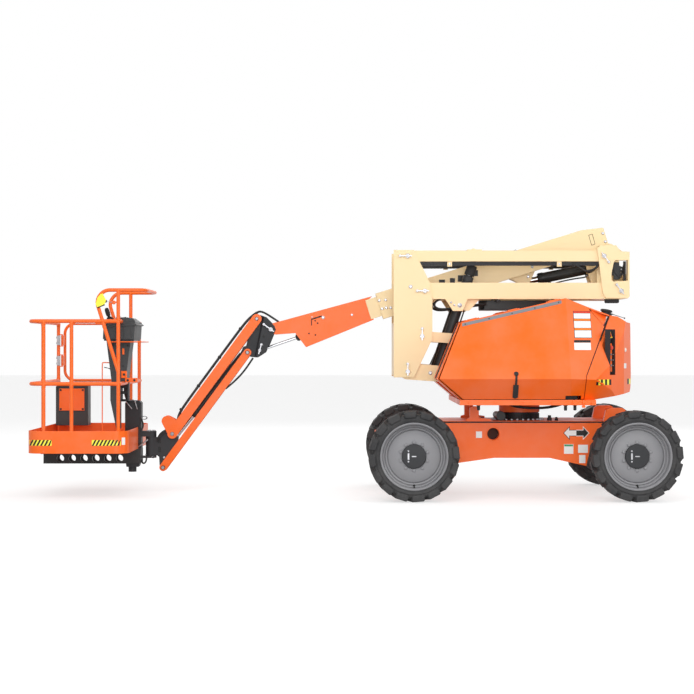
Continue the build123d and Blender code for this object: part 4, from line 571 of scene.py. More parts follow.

# ---------------------------------------------------------------- axles and steering
# Cast knuckles on kingpins with grease nipples, and rubber boots over the tie rod's ball ends.


def hose(name, runs, radius, body, material=None):
    """Round hose or wire along smooth runs, fixed at both ends."""
    curve = bpy.data.curves.new(name, "CURVE")
    curve.dimensions = "3D"
    curve.bevel_depth = radius
    curve.bevel_resolution = 2
    curve.use_fill_caps = True
    for run in runs:
        line = curve.splines.new("NURBS")
        line.points.add(len(run) - 1)
        for point, place in zip(line.points, run):
            point.co = (*place, 1)
        line.order_u = min(4, len(run))
        line.use_endpoint_u = True
        line.resolution_u = 5
    curve.materials.append(material or hose_rubber)
    piece = bpy.data.objects.new(name, curve)
    bpy.context.scene.collection.objects.link(piece)
    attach(piece, body)
    return piece


STEER = pin["steer_near"]
for side_name, side in (("near", -1), ("far", 1)):
    knuckle_work = Work()
    for rise, way in ((0.502, 1), (0.228, -1)):
        seat = seat_at((STEER.x, side * 0.64, rise), (0, 0, way))
        knuckle_work.turned([(0.026, -0.001), (0.026, 0.006), (0.020, 0.009), (0.008, 0.009), (0.008, 0.016),
            (0.005, 0.020), (0, 0.021)], seat, 20)
    knuckle_work.done(f"kingpin_caps_{side_name}", f"steering_knuckle_{side_name}", zinc_plate)
boots = Work()
tie_low, tie_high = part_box("tie_rod")
for side in (-1, 1):
    boot_seat = seat_at((STEER.x - 0.15, side * 0.592, (tie_low[2] + tie_high[2]) / 2), (0, -side, 0))
    boots.turned([(0.016, 0), (0.021, 0.004), (0.017, 0.010), (0.022, 0.015), (0.017, 0.021), (0.022, 0.027),
        (0.016, 0.033), (0.0145, 0.036)], boot_seat, 20)
boots.done("tie_rod_boots", "tie_rod", seal_rubber, crease=50)

# ---------------------------------------------------------------- deck fittings
# Screws along the turntable deck's edge, the catch straps that hold the hoods down, and small posts and hose unions
# hanging under the plate.
DECK_EDGE = 0.75
deck_bolts, deck_steel, deck_orange = Work(), Work(), Work()
for side in (-1, 1):
    for x in (0.93, 1.15, 1.37, 1.5955, 1.775, 1.925):
        deck_bolts.bolt(seat_at((x, side * DECK_EDGE, 0.789), (0, side, 0)), 0.011, 0.005)
    for x, y in ((1.721, 0.70), (1.803, 0.66), (1.02, 0.66)):
        deck_steel.turned([(0.0, -0.045), (0.010, -0.045), (0.013, -0.040), (0.013, -0.006), (0.021, -0.004),
            (0.021, 0.0), (0, 0.0)], seat_at((x, side * y, 0.768), (0, 0, 1)), 16)
    slab(deck_orange, [(1.848, 0.748), (1.874, 0.748), (1.877, 0.757), (1.872, 0.766), (1.872, 0.806), (1.850, 0.806),
        (1.850, 0.766), (1.845, 0.757)], DECK_EDGE - 0.001, side, 0.007)
    deck_bolts.bolt(seat_at((1.861, side * (DECK_EDGE + 0.006), 0.778), (0, side, 0)), 0.012, 0.006)
deck_bolts.done("deck_screws", "turntable", orange_enamel, "orange_paint")
deck_steel.done("deck_posts", "turntable", dark_coat_and_shade, "dark_paint", 0.001)
deck_orange.done("deck_catch_straps", "turntable", orange_enamel, "orange_paint", 0.0015)
hose("deck_hoses", [
    [(1.30 + 0.02 * k, -0.24 - 0.03 * k, 0.766), (1.34 + 0.02 * k, -0.26 - 0.03 * k, 0.735),
        (1.52, -0.25 - 0.03 * k, 0.722), (1.68, -0.26 - 0.02 * k, 0.735), (1.72 + 0.02 * k, -0.28, 0.767)]
    for k in range(3)
], 0.010, "turntable")

# ---------------------------------------------------------------- hoods
# Moulded hood lids with a grey metal strip riveted along the ridge, a rubber draw latch over the crease and blank
# plates where their stickers go.
RIDGE = ((0.885, 1.4395), (1.700, 1.6278))
STRIP_TALL, STRIP_DROP = 0.026, 0.010
PLATE_ROWS = (
    ((1.5145, 1.5290), "red"), ((1.4695, 1.5115), "white"), ((1.4515, 1.4665), "orange"), ((1.3935, 1.4485), "white"),
    ((1.3755, 1.3905), "orange"), ((1.3145, 1.3725), "white"),
)
for side_name, side in (("near", -1), ("far", 1)):
    hood, body = (f"hood_{side_name}",), f"hood_{side_name}"
    strip, rivets = Work(), Work()
    hug(strip, [(x, z - STRIP_TALL - STRIP_DROP) for x, z in RIDGE] + [(x, z - STRIP_DROP) for x, z in RIDGE[::-1]],
        side, hood, (24, 1), 0.003)
    for share in (0.03, 0.27, 0.50, 0.73, 0.97):
        x = RIDGE[0][0] + share * (RIDGE[1][0] - RIDGE[0][0])
        rivets.turned([(0.0055, 0.002), (0.0055, 0.004), (0.003, 0.0058), (0, 0.006)],
            seat_on(x, RIDGE[0][1] + share * (RIDGE[1][1] - RIDGE[0][1]) - STRIP_DROP - STRIP_TALL / 2, side, *hood),
            10)
    strip.done(f"ridge_strip_{side_name}", body, brushed_strip)
    rivets.done(f"ridge_rivets_{side_name}", body, dark_coat_and_shade, "dark_paint")
    latch = Work()
    hug(latch, box_of((1.297, 1.315), (0.925, 1.012)), side, hood, (2, 6), 0.008)
    hug(latch, box_of((1.285, 1.328), (0.835, 0.935)), side, hood, (2, 4), 0.013)
    for z, radius in ((1.022, 0.019), (0.842, 0.019)):
        latch.turned([(radius, -0.001), (radius, 0.009), (radius - 0.004, 0.013), (0, 0.014)],
            seat_on(1.306, z, side, *hood), 24)
    latch.done(f"hood_latch_{side_name}", body, black_paint, "black_paint", 0.004)
    white, header, frame_lines, red = Work(), Work(), Work(), Work()
    for rows, kind in PLATE_ROWS:
        hug({"white": white, "orange": header, "red": red}[kind], box_of((1.7960, 1.9400), rows), side, hood, (4, 1),
            0.0016)
    hug(frame_lines, box_of((1.7920, 1.9435), (1.3105, 1.5320)), side, hood, (4, 2), 0.0008)
    hug(white, box_of((1.786, 1.930), (1.214, 1.272)), side, hood, (4, 1), 0.0012)
    hug(frame_lines, box_of((1.786, 1.930), (1.274, 1.294)), side, hood, (4, 1), 0.0012)
    white.done(f"hood_plates_{side_name}", body, label_white)
    header.done(f"hood_plate_headers_{side_name}", body, label_orange)
    red.done(f"hood_plate_red_header_{side_name}", body, label_red)
    frame_lines.done(f"hood_plate_borders_{side_name}", body, black_print_and_shade)

# ---------------------------------------------------------------- hood seals
# Black rubber strips fill the seams in front of and behind the hoods, and a small orange panel on each side closes the
# corner between the hood's ridge and the tail.


def facet(x, z):
    """How far out the hood's upper face lies at an X and Z point, above and behind its crease."""
    behind = max(0.0, x - SLEW.x - 0.342)
    return 0.880 - 0.49545 * behind - 0.43495 * max(0.0, z - 0.982)


seals, corner_panels = Work(), Work()
SEAL_STEPS, SEAL_DEPTH = 6, 0.004
FRONT_SEAM, TAIL_SEAM = ((-0.730, 0.990), (-0.541, 1.430)), ((0.470, 1.010), (0.700, 1.497))
CORNER = ((1.9500, 1.5350), (2.0500, 1.4180), (2.0720, 1.4480), (2.0850, 1.4900), (1.9600, 1.5480))
for side in (-1, 1):
    for (low, high), near_edge, far_edge in ((FRONT_SEAM, -0.018, -0.007), (TAIL_SEAM, 0.001, 0.011)):
        rows = []
        for index in range(SEAL_STEPS + 1):
            share = index / SEAL_STEPS
            x, z = SLEW.x + low[0] + share * (high[0] - low[0]), low[1] + share * (high[1] - low[1])
            out = facet(x, z) - SEAL_DEPTH
            rows.append([Vector((x + a, side * (out - b), z)) for a,
                b in ((near_edge, 0), (far_edge, 0), (far_edge, 0.006), (near_edge, 0.006))])
        seals.loft(rows)
    corner_panels.loft([[Vector((x, side * (facet(x, z) - inset), z)) for x, z in CORNER] for inset in (0.004, 0.008)])
seals.done("hood_seals", "turntable", seal_rubber)
corner_panels.done("hood_corner_panels", "turntable", orange_enamel, "orange_paint")

# ---------------------------------------------------------------- tail
# The counterweight's moulded cover: the ground controls sit in a slot on its shoulder, with a lens, a filler cap, a
# whip aerial, blank plates and a yellow and black band under its edge.
tail = ("counterweight", "turntable", "hood_frames")
CONTROL_SEAT = seat_at((2.1243 - 0.060 * 0.808, -0.636 + 0.060 * 0.59, 1.197), (0.808, -0.59, 0), (0.59, 0.808, 0))
liner = Work()
liner.plate([(-0.043, -0.185), (0.043, -0.185), (0.043, 0.185), (-0.043, 0.185)], CONTROL_SEAT, 0.003)
for across in (-0.0435, 0.0405):
    liner.plate([(across, -0.185), (across + 0.003, -0.185), (across + 0.003, 0.185), (across, 0.185)], CONTROL_SEAT,
        0.048)
liner.done("control_slot_liner", "turntable", dark_coat_and_shade, "dark_paint")
panel = Work()
panel.plate([(-0.034, -0.160), (0.034, -0.160), (0.034, 0.070), (-0.034, 0.070)],
    CONTROL_SEAT @ Matrix.Translation((0, 0, 0.003)), 0.022)
panel.done("ground_control_panel", "turntable", orange_enamel, "orange_paint", 0.003)
switches, stop_button = Work(), Work()
for across, up in ((-0.017, -0.020), (0.017, -0.020), (-0.017, -0.065), (0.017, -0.065), (-0.017, -0.110),
    (0.017, -0.110)):
    seat = CONTROL_SEAT @ Matrix.Translation((across, up, 0.025))
    switches.turned([(0.009, 0), (0.009, 0.004), (0.005, 0.006), (0.0035, 0.016), (0.0042, 0.021), (0, 0.022)], seat,
        14)
stop_button.turned([(0.010, 0), (0.010, 0.008), (0.017, 0.011), (0.018, 0.016), (0.015, 0.020), (0, 0.022)],
    CONTROL_SEAT @ Matrix.Translation((0, 0.035, 0.025)), 24)
switches.done("ground_switches", "turntable", zinc_plate)
stop_button.done("ground_stop_button", "turntable", label_red)
for wire_name, tint, shift_in, rise in (("yellow", label_yellow, 0.0, 0.0), ("red", label_red, 0.006, 0.012),
    ("black", hose_rubber, -0.008, 0.02)):
    hose(f"control_wire_{wire_name}", [[CONTROL_SEAT @ Vector(p) for p in (
        (-0.030 + shift_in, 0.072, 0.012), (-0.026 + shift_in, 0.110, 0.030), (0.002, 0.130 - rise, 0.044),
        (0.024 - shift_in, 0.105 + rise, 0.030), (0.028 - shift_in, 0.150, 0.014), (0.020, 0.183,
            0.008))]], 0.0042, "turntable", tint)
tail_black, tail_white, tail_lens, tail_yellow = Work(), Work(), Work(), Work()
for side in (-1, 1):
    for across in ((1.962, 2.098), (2.2750, 2.3180)):
        stripes = max(2, round((across[1] - across[0]) / 0.0195))
        wide = (across[1] - across[0]) / stripes
        for index in range(stripes):
            x = across[0] + index * wide
            hug(tail_yellow if index % 2 else tail_black, box_of((x, x + wide), (0.930, 0.975)), side, tail, (1, 2),
                0.0012)
    tail_lens.turned([(0.017, -0.001), (0.017, 0.005), (0.014, 0.009), (0.008, 0.011), (0, 0.012)],
        seat_on(2.2460, 1.214, side, *tail), 24)
    hug(tail_white, box_of((2.232, 2.262), (1.062, 1.104)), side, tail, (2, 1), 0.0012)
tail_black.done("tail_band_black", "turntable", black_print_and_shade)
tail_yellow.done("tail_band_yellow", "turntable", lemon_paint)
tail_white.done("tail_plates", "turntable", label_white)
tail_lens.done("tail_lenses", "turntable", lens_glass)


def top_at(x, y, *names):
    """The highest point of some of the frame's pieces over a place on the floor, with its normal."""
    best = None
    for name in names:
        if name not in skins:
            mesh = nodes[name].data
            skins[name] = BVHTree.FromPolygons([v.co for v in mesh.vertices], [p.vertices for p in mesh.polygons])
        spot, normal, _, _ = skins[name].ray_cast(Vector((x, y, 4)), Vector((0, 0, -1)))
        if spot and (best is None or spot.z > best[0].z):
            best = (spot, normal if normal.z > 0 else -normal)
    if best is None:
        raise ValueError(f"nothing of {names} over {x:.3f}, {y:.3f}")
    return best


filler = Work()
spot, normal = top_at(2.092, -0.400, *tail)
cap_seat = seat_at(spot, (normal + Vector((0, 0, 1))) / 2)
filler.turned([(0.050, -0.006), (0.050, 0.010), (0.046, 0.014), (0.040, 0.015), (0.040, 0.024), (0.046, 0.027),
    (0.046, 0.040), (0.040, 0.045), (0.020, 0.047), (0, 0.047)], cap_seat, 36)
for index in range(18):
    angle = 2 * pi * index / 18
    filler.plate([(-0.003, -0.002), (0.003, -0.002), (0.003, 0.002), (-0.003, 0.002)],
        cap_seat @ Matrix.Translation((0.0465 * cos(angle), 0.0465 * sin(angle), 0.028)), 0.011)
filler.done("filler_cap", "turntable", black_paint, "black_paint", crease=40)
aerial = Work()
aerial_seat = seat_at(cap_seat @ Vector((0.004, 0, 0.022)), (0.95, 0, -0.31))
aerial.turned([(0.0045, 0.03), (0.0045, 0.055), (0.0026, 0.060), (0.0022, 0.150), (0.006, 0.152), (0.006, 0.160),
    (0, 0.162)], aerial_seat, 10)
aerial.done("whip_aerial", "turntable", black_paint, "black_paint")

# ---------------------------------------------------------------- tower pins
# Each pivot pin has a turned silver head with a nipple in the middle and a flat keeper bar that one screw holds to the
# cheek, so that it can't turn or walk out.


def keepered_pin(bright, point, face, side, radius, lean, reach=0.064):
    """A pin's head at a cheek's outer face, with its thin keeper bar towards a lean of X and Z."""
    seat = seat_at((point[0], side * face, point[1]), (0, side, 0), (lean[0], 0, lean[1]))
    bright.turned([(radius, -0.006), (radius, 0.0025), (radius - 0.002, 0.0045), (radius - 0.005, 0.0045),
        (radius - 0.0065, 0.003), (0.006, 0.003), (0.006, 0.009), (0.004, 0.012), (0, 0.012)], seat, 28)
    if reach:
        bar = [(-0.034, -0.0045), (reach, -0.0045), (reach, 0.0045), (-0.034, 0.0045)]
        bright.plate(bar, seat @ Matrix.Translation((0, 0, 0.0035)), 0.004)
        bright.bolt(seat @ Matrix.Translation((reach, 0, 0.003)), 0.016, 0.011)


TOWER_PINS = (
    ("tower_upright", ((0.4583, 1.0340), (0, 1)), ((0.5783, 1.3280), (0, 1)), ((0.4583, 1.9970), (-1, 0)),
        ((0.6013, 1.7060), (-1, 0))),
    ("knuckle", ((2.0923, 1.9970), (0.6, -0.8)), ((2.2353, 1.7060), (-0.6, 0.8))),
    ("turntable", ((2.0883, 0.9200), (-1, 0)), ((2.2083, 1.2140), (-1, 0))),
)
for body, *spots in TOWER_PINS:
    bright = Work()
    for point, lean in spots:
        for side in (-1, 1):
            keepered_pin(bright, point, 0.3190, side, 0.0190, lean)
    bright.done(f"pins_{body}", body, zinc_plate)

# ---------------------------------------------------------------- tower arms
# A plastic hose track runs under the upper arms, held by cream tabs, and feeds loops of hose round the upright and the
# knuckle; the cylinders have screwed glands, ports and their own short hoses.
ARM_FACE = 0.295
track, tabs, cheek_bolts = Work(), Work(), Work()
for side in (-1, 1):
    links = 54
    for index in range(links):
        x = 0.562 + index * (1.490 / links)
        slab(track, box_of((x + 0.001, x + 1.490 / links - 0.0015), (1.917, 1.945)), 0.252, side, 0.034)
    slab(track, box_of((0.562, 2.052), (1.921, 1.949)), 0.255, side, 0.028)
    for x in (0.808, 1.722):
        slab(tabs, [(x - 0.020, 1.908), (x + 0.020, 1.908), (x + 0.020, 1.952), (x - 0.020, 1.952)], 0.2865, side,
            0.005)
        cheek_bolts.bolt(seat_at((x, side * 0.2915, 1.930), (0, side, 0)), 0.013, 0.007)
track.done("hose_track", "tower_upper_arm", dark_coat_and_shade, "black_paint")
tabs.done("hose_track_tabs", "tower_upper_arm", cream_enamel, "cream_paint", 0.0015)
cheek_bolts.done("hose_track_bolts", "tower_upper_arm", zinc_plate)
plate_bolts = Work()
for side in (-1, 1):
    plate_bolts.bolt(seat_at((0.482, side * 0.313, 1.740), (0, side, 0)), 0.022, 0.022 * 0.42)
plate_bolts.done("upright_bolts", "tower_upright", zinc_plate)
arm_bolts = Work()
for side in (-1, 1):
    arm_bolts.bolt(seat_at((0.647, side * ARM_FACE, 1.021), (0, side, 0)), 0.022, 0.009)
arm_bolts.done("lower_arm_bolts", "tower_lower_arm", zinc_plate)
hanger_bolts = Work()
for side in (-1, 1):
    for x, z, radius in ((0.892, 1.585, 0.013), (0.848, 1.588, 0.006), (0.820, 1.610, 0.006)):
        hanger_bolts.turned([(radius * 1.5, -0.001), (radius * 1.5, 0.002), (radius, 0.003), (radius, 0.007),
            (radius * 0.7, 0.009), (0, 0.009)], seat_at((x, side * ARM_FACE, z), (0, side, 0)), 20)
hanger_bolts.done("hanger_pins", "tower_upper_link", zinc_plate)
hose("hanger_hoses", [
    [(1.12, y, 1.60), (0.98, y - 0.01, 1.585), (0.84, y - 0.02, 1.560), (0.72, y - 0.02, 1.548),
        (0.668, y - 0.01, 1.585), (0.700, y, 1.632), (0.78, y, 1.66)]
    for y in (-0.205, -0.180, 0.180, 0.205)
], 0.0095, "tower_upper_link")
hose("upper_arm_hoses", [
    [(1.83, y, 1.935), (1.90, y, 1.905), (1.925 + 0.02 * k, y, 1.868 - 0.006 * k), (1.99, y - 0.008, 1.872 - 0.005 * k),
        (2.045, y, 1.905), (2.052, y, 1.938)]
    for k, y in enumerate((-0.285, -0.268, -0.250))
] + [[(1.80, -0.262, 1.93), (1.88, -0.262, 1.915), (1.96, -0.262, 1.935), (2.02, -0.262, 1.915),
    (2.05, -0.262, 1.94)]], 0.0085, "tower_upper_arm")

carrier = Work()
for x_low, x_high, half in ((1.078, 1.112, 0.110), (1.112, 1.146, 0.104)):
    carrier.loft([[Vector((x, y, z)) for x, z in box_of((x_low, x_high), (1.552, 1.632))] for y in (-half, half)])
carrier.done("hose_carrier_end", "tower_upper_link", seal_rubber, bevel=0.003)

# ---------------------------------------------------------------- knuckle
# Welded cheeks with the boom's valve block between them: black hoses loop through the window, and a rubber bumper
# under the foot lands on the turntable when the tower is down.
valve_block, bumper, knuckle_window_shade = Work(), Work(), Work()
slab(valve_block, box_of((2.165, 2.235), (1.835, 1.915)), -0.285, 1, 0.035)
slab(valve_block, box_of((2.176, 2.222), (1.800, 1.945)), -0.288, 1, 0.030)
for z in (1.850, 1.875, 1.900):
    valve_block.turned([(0.011, 0), (0.011, 0.012), (0.0085, 0.014), (0.0085, 0.026), (0, 0.026)],
        seat_at((2.233, -0.270, z), (1, 0, 0)), 14)
valve_block.done("knuckle_valve_block", "knuckle", black_paint, "black_paint", 0.002)
slab(bumper, [(2.112, 1.604), (2.214, 1.604), (2.221, 1.612), (2.221, 1.6455), (2.105, 1.6455), (2.105, 1.612)], -0.290,
    1, 0.050)
bumper.done("knuckle_bumpers", "knuckle", seal_rubber, bevel=0.003)
# A flat dark strip at the window's back edge is painted shade on the far cheek's inner face.
slab(knuckle_window_shade, box_of((2.262, 2.286), (1.790, 1.955)), -0.240, 1, 0.004)
knuckle_window_shade.done("knuckle_window_painted_shade", "knuckle", dark_coat_and_shade, "dark_paint", 0.001)
hose("knuckle_hoses", [
    [(2.178, -0.262 - 0.006 * k, 1.945 - 0.012 * k), (2.160, -0.272, 1.960 - 0.02 * k),
        (2.170 + 0.015 * k, -0.285, 1.890 - 0.02 * k), (2.185 + 0.01 * k, -0.284, 1.840 - 0.01 * k),
        (2.240, -0.270, 1.830 - 0.006 * k), (2.265, -0.250, 1.860 + 0.02 * k)]
    for k in range(4)
], 0.0075, "knuckle")

# ---------------------------------------------------------------- cylinders
# Hydraulic cylinders: painted barrels with a screwed gland and a wiper at the mouth, port bosses with unions, and a
# rubber pipe along each barrel.


def dressed_cylinder(name, body, foot, mouth, barrel_radius, rod_radius, centres, pipe_side=1):
    """Gland, wiper, ports and a pipe on a barrel from foot to mouth, given as X and Z points."""
    foot, mouth = Vector((foot[0], 0, foot[1])), Vector((mouth[0], 0, mouth[1]))
    run = (mouth - foot).normalized()
    square = Vector((run.z, 0, -run.x)) * pipe_side
    gland, brass = Work(), Work()
    for y in centres:
        shift_y = Vector((0, y, 0))
        seat = seat_at(mouth + shift_y, run, square)
        gland.turned([(barrel_radius + 0.0005, -0.045), (barrel_radius + 0.004, -0.042),
            (barrel_radius + 0.004, -0.006), (barrel_radius, -0.001), (barrel_radius, 0.004),
            (rod_radius + 0.006, 0.0055), (rod_radius + 0.004, 0.010), (rod_radius + 0.0006, 0.010)], seat, 32)
        for along in (0.055, (mouth - foot).length - 0.085):
            port = seat_at(foot + shift_y + run * along + square * (barrel_radius - 0.002), square, run)
            gland.turned([(0.014, 0), (0.014, 0.010), (0, 0.010)], port, 16)
            brass.bolt(port @ Matrix.Translation((0, 0, 0.009)), 0.018, 0.010)
    gland.done(f"{name}_gland", body, black_paint, "black_paint", crease=40)
    brass.done(f"{name}_unions", body, zinc_plate)
    length = (mouth - foot).length
    hose(f"{name}_pipe", [[
        foot + Vector((0, y, 0)) + run * 0.055 + square * (barrel_radius + 0.014), foot + Vector((0, y,
            0)) + run * 0.075 + square * (barrel_radius + 0.024),
        foot + Vector((0, y, 0)) + run * 0.12 + square * (barrel_radius + 0.014), foot + Vector((0, y,
            0)) + run * (length - 0.15) + square * (barrel_radius + 0.014),
        foot + Vector((0, y, 0)) + run * (length - 0.105) + square * (barrel_radius + 0.024), foot + Vector((0, y,
            0)) + run * (length - 0.085) + square * (barrel_radius + 0.014),
    ] for y in centres], 0.006, body)


def part_way(start, finish, share):
    """A point part of the way between two X and Z points."""
    return (start[0] + (finish[0] - start[0]) * share, start[1] + (finish[1] - start[1]) * share)


TOWER_FOOT = (0.6957, 1.0174)
TOWER_HEAD = (0.4583 + 0.559, 1.9970 - 0.037)
dressed_cylinder("tower_cylinders", "tower_cylinder_barrels", TOWER_FOOT, part_way(TOWER_FOOT, TOWER_HEAD, 0.86), 0.042,
    0.025, (-0.195, 0.195))
LIFT_FOOT, LIFT_HEAD = (2.0353, 1.9100), (1.4675, 1.7938)
dressed_cylinder("lift_cylinder", "lift_cylinder_barrel", LIFT_FOOT, part_way(LIFT_FOOT, LIFT_HEAD, 0.80), 0.045, 0.025,
    (0,), -1)
sleeves = Work()
tower_run = Vector((TOWER_HEAD[0] - TOWER_FOOT[0], 0, TOWER_HEAD[1] - TOWER_FOOT[1]))
for y in (-0.195, 0.195):
    start = Vector((TOWER_FOOT[0], y, TOWER_FOOT[1])) + tower_run * 0.86
    reach = tower_run.length * 0.14 - 0.040
    sleeves.turned([(0.0265, 0.012), (0.041, 0.012), (0.043, 0.018), (0.043, reach - 0.006), (0.040, reach),
        (0.0265, reach)], seat_at(start, tower_run.normalized()), 36)
sleeves.done("tower_rod_sleeves", "tower_cylinder_rods", seal_rubber, crease=40)
JIB_FOOT = (-0.6935 - 0.214, 1.3878 - 0.172)
JIB_HEAD = (-1.5283 + 0.020, 0.5024 - 0.042)
dressed_cylinder("jib_cylinder", "jib_cylinder_barrel", JIB_FOOT, part_way(JIB_FOOT, JIB_HEAD, 0.74), 0.027, 0.016,
    (0,), -1)
LEVEL_FOOT, LEVEL_HEAD = (-0.0971, 1.4468), (-0.6935 - 0.093, 1.3878 - 0.178)
dressed_cylinder("level_cylinder", "level_cylinder_barrel", LEVEL_FOOT, part_way(LEVEL_FOOT, LEVEL_HEAD, 0.545), 0.028,
    0.012, (0,), -1)

# ---------------------------------------------------------------- main boom
# A rolled box boom: wear-pad screws round its mouth, an inspection cover near the back, black patches of painted shade
# for the lightening windows low on the side, and small studs for the cable guide along its top edge.
BOOM = pin["main_boom_lift"]
BOOM_RUN = Vector((-0.954761, 0, -0.297375))
BOOM_RISE = Vector((-0.297375, 0, 0.954761))


def boom_at(along, rise, reach):
    """A place on the boom from its pivot: along it, square to it, and out to the side."""
    return BOOM + BOOM_RUN * along + BOOM_RISE * rise + Vector((0, reach, 0))


boom_screws, boom_window_shade, boom_lines = Work(), Work(), Work()
for side in (-1, 1):
    for x, z in ((2.117, 2.1996), (2.1385, 2.130), (0.226, 1.632), (0.279, 1.636), (0.250, 1.562), (0.284, 1.570),
        (0.322, 1.570), (1.520, 1.916), (1.490, 1.835)):
        boom_screws.bolt(seat_on(x, z, side, "base_boom"), 0.017, 0.008)
    # Flat black patches of painted shade where the lightening windows are.
    for across, rows in (((0.730, 0.781), (1.770, 1.808)), ((0.823, 0.866), (1.775, 1.821)),
        ((0.890, 0.935), (1.790, 1.845)), ((1.026, 1.060), (1.838, 1.889))):
        hug(boom_window_shade, box_of(across, rows), side, ("base_boom",), (1, 1), 0.0012)
    corners = [(2.021, 2.099), (2.051, 2.109), (2.0276, 2.194), (1.997, 2.184)]
    for k in range(4):
        a, b = Vector(corners[k]), Vector(corners[(k + 1) % 4])
        run = (b - a).normalized()
        over = Vector((-run.y, run.x)) * 0.0018
        hug(boom_lines, [tuple(a - over), tuple(b - over), tuple(b + over), tuple(a + over)], side, ("base_boom",),
            (3, 1), 0.0010)
for along in (0.35, 0.75, 1.15, 1.55, 1.80):
    for side in (-1, 1):
        seat = seat_at(boom_at(along, 0.235, side * 0.055), BOOM_RISE)
        if along > 0.7:
            boom_screws.bolt(seat, 0.014, 0.010)
boom_screws.done("boom_screws", "base_boom", zinc_plate)
boom_window_shade.done("boom_windows_painted_shade", "base_boom", black_print_and_shade)
boom_lines.done("inspection_cover_seam", "base_boom", seal_rubber)
collar = Work()
for rise in (0.0225 - 0.006, 0.2355):
    collar.plate([(-0.060, -0.060), (0.060, -0.060), (0.060, 0.060), (-0.060, 0.060)],
        seat_at(boom_at(1.92, rise, 0), BOOM_RISE, BOOM_RUN), 0.006)
collar.done("boom_mouth_pads", "base_boom", seal_rubber)

# ---------------------------------------------------------------- fly boom's nose
# The nose is a box welded on the fly boom; it has an access slot with a round plug, two studs, and the level cylinder's
# pin with its keeper below.
nose = ("fly_nose", "fly_boom")
nose_dark, nose_steel = Work(), Work()
for side in (-1, 1):
    hug(nose_dark, [(-0.352, 1.466), (-0.262, 1.494), (-0.262, 1.506), (-0.352, 1.478)], side, nose, (3, 1), 0.0010)
    hug(nose_dark, [(-0.352, 1.420), (-0.344, 1.420), (-0.344, 1.478), (-0.352, 1.478)], side, nose, (1, 2), 0.0010)
    for x, z, across in ((-0.250, 1.488, 0.020), (-0.006, 1.511, 0.014), (-0.344, 1.492, 0.008)):
        nose_steel.bolt(seat_on(x, z, side, *nose), across, across * 0.4)
    for x, z in ((-0.318, 1.462), (-0.296, 1.440), (-0.370, 1.353), (-0.315, 1.340)):
        nose_dark.turned([(0.0065, -0.001), (0.0065, 0.004), (0.004, 0.006), (0, 0.006)], seat_on(x, z, side, *nose),
            14)
nose_dark.done("nose_slot_and_studs", "fly", seal_rubber)
nose_steel.done("nose_screws", "fly", zinc_plate)

# ---------------------------------------------------------------- jib
# Flat-bar jib: steel pin heads, two of them with keeper bars, the feed hose clipped above the upper bars and a return
# hose at the pivot's back.
JIB_PINS = (
    ("jib_pivot", ((-0.6935, 1.3878), (-0.80, 0.58), 0.018, 0.072), ((-0.7865, 1.2098), (0.28, 1), 0.014, 0.050),
     ((-0.8125, 1.4768), (1, 0), 0.0125, 0), ((-0.8915, 1.1918), (1, 0), 0.0125, 0)),
    ("jib_end", ((-1.5283, 0.5024), (1, 0), 0.0140, 0), ((-1.6073, 0.2174), (1, 0), 0.0125, 0)),
)
for body, *spots in JIB_PINS:
    heads = Work()
    for point, lean, radius, reach in spots:
        for side in (-1, 1):
            spot, _ = face_at(point[0], point[1], side)
            keepered_pin(heads, point, abs(spot.y) + 0.001, side, radius, lean, reach)
    heads.done(f"pins_{body}", body, zinc_plate)


slope = Vector((-1.5283 + 0.8125, 0, 0.5024 - 1.4768)).normalized()
above = Vector((slope.z, 0, -slope.x))
above = above if above.x < 0 else -above
upper_start = Vector((-0.8125, 0, 1.4768))


def jib_at(along, over, reach):
    """A place by the upper bars: along them from the top pin, square above them, and out to the side."""
    return upper_start + slope * along + above * over + Vector((0, reach, 0))


hose("jib_feed_hose", [[jib_at(a, o, y) for a, o, y in (
    (-0.045, 0.030, -0.035), (0.02, 0.056, -0.040), (0.12, 0.062, -0.045), (0.40, 0.062, -0.046), (0.70, 0.062,
        -0.046), (1.00, 0.062, -0.045), (1.07, 0.050, -0.040), (1.10, 0.020, -0.036))]], 0.011, "jib_upper_arm")
clips = Work()
for along in (0.15, 0.45, 0.75, 1.00):
    clips.turned([(0.0145, -0.008), (0.0150, -0.007), (0.0150, 0.007), (0.0145, 0.008)],
        seat_at(jib_at(along, 0.062, -0.0457), slope), 18)
clips.done("jib_hose_clips", "jib_upper_arm", seal_rubber)
hose("jib_pivot_hoses", [
    [(-0.832, -0.046 + 0.022 * k, 1.500), (-0.812, -0.048 + 0.022 * k, 1.540), (-0.770, -0.048 + 0.022 * k, 1.548),
        (-0.700, -0.046 + 0.022 * k, 1.500), (-0.628, -0.044 + 0.022 * k, 1.452)]
    for k in range(3)
], 0.0085, "jib_pivot")
hose("jib_return_hose", [[(-0.845, -0.030, 1.145), (-0.900, -0.036, 1.060), (-0.950, -0.036, 0.996),
    (-1.020, -0.036, 0.930), (-1.078, -0.030, 0.884)]], 0.008, "jib_lower_arm")
# Black discs on the pivot's plates are painted shade inside its holes.
pivot_hole_shade = Work()
for side in (-1, 1):
    for x, z, radius in ((-0.752, 1.328, 0.011), (-0.800, 1.385, 0.006)):
        pivot_hole_shade.turned([(radius, -0.0005), (radius, 0.0008), (radius - 0.002, 0.0012), (0, 0.0012)],
            seat_on(x, z, side, "jib_pivot"), 18)
pivot_hole_shade.done("jib_pivot_holes_painted_shade", "jib_pivot", black_print_and_shade)

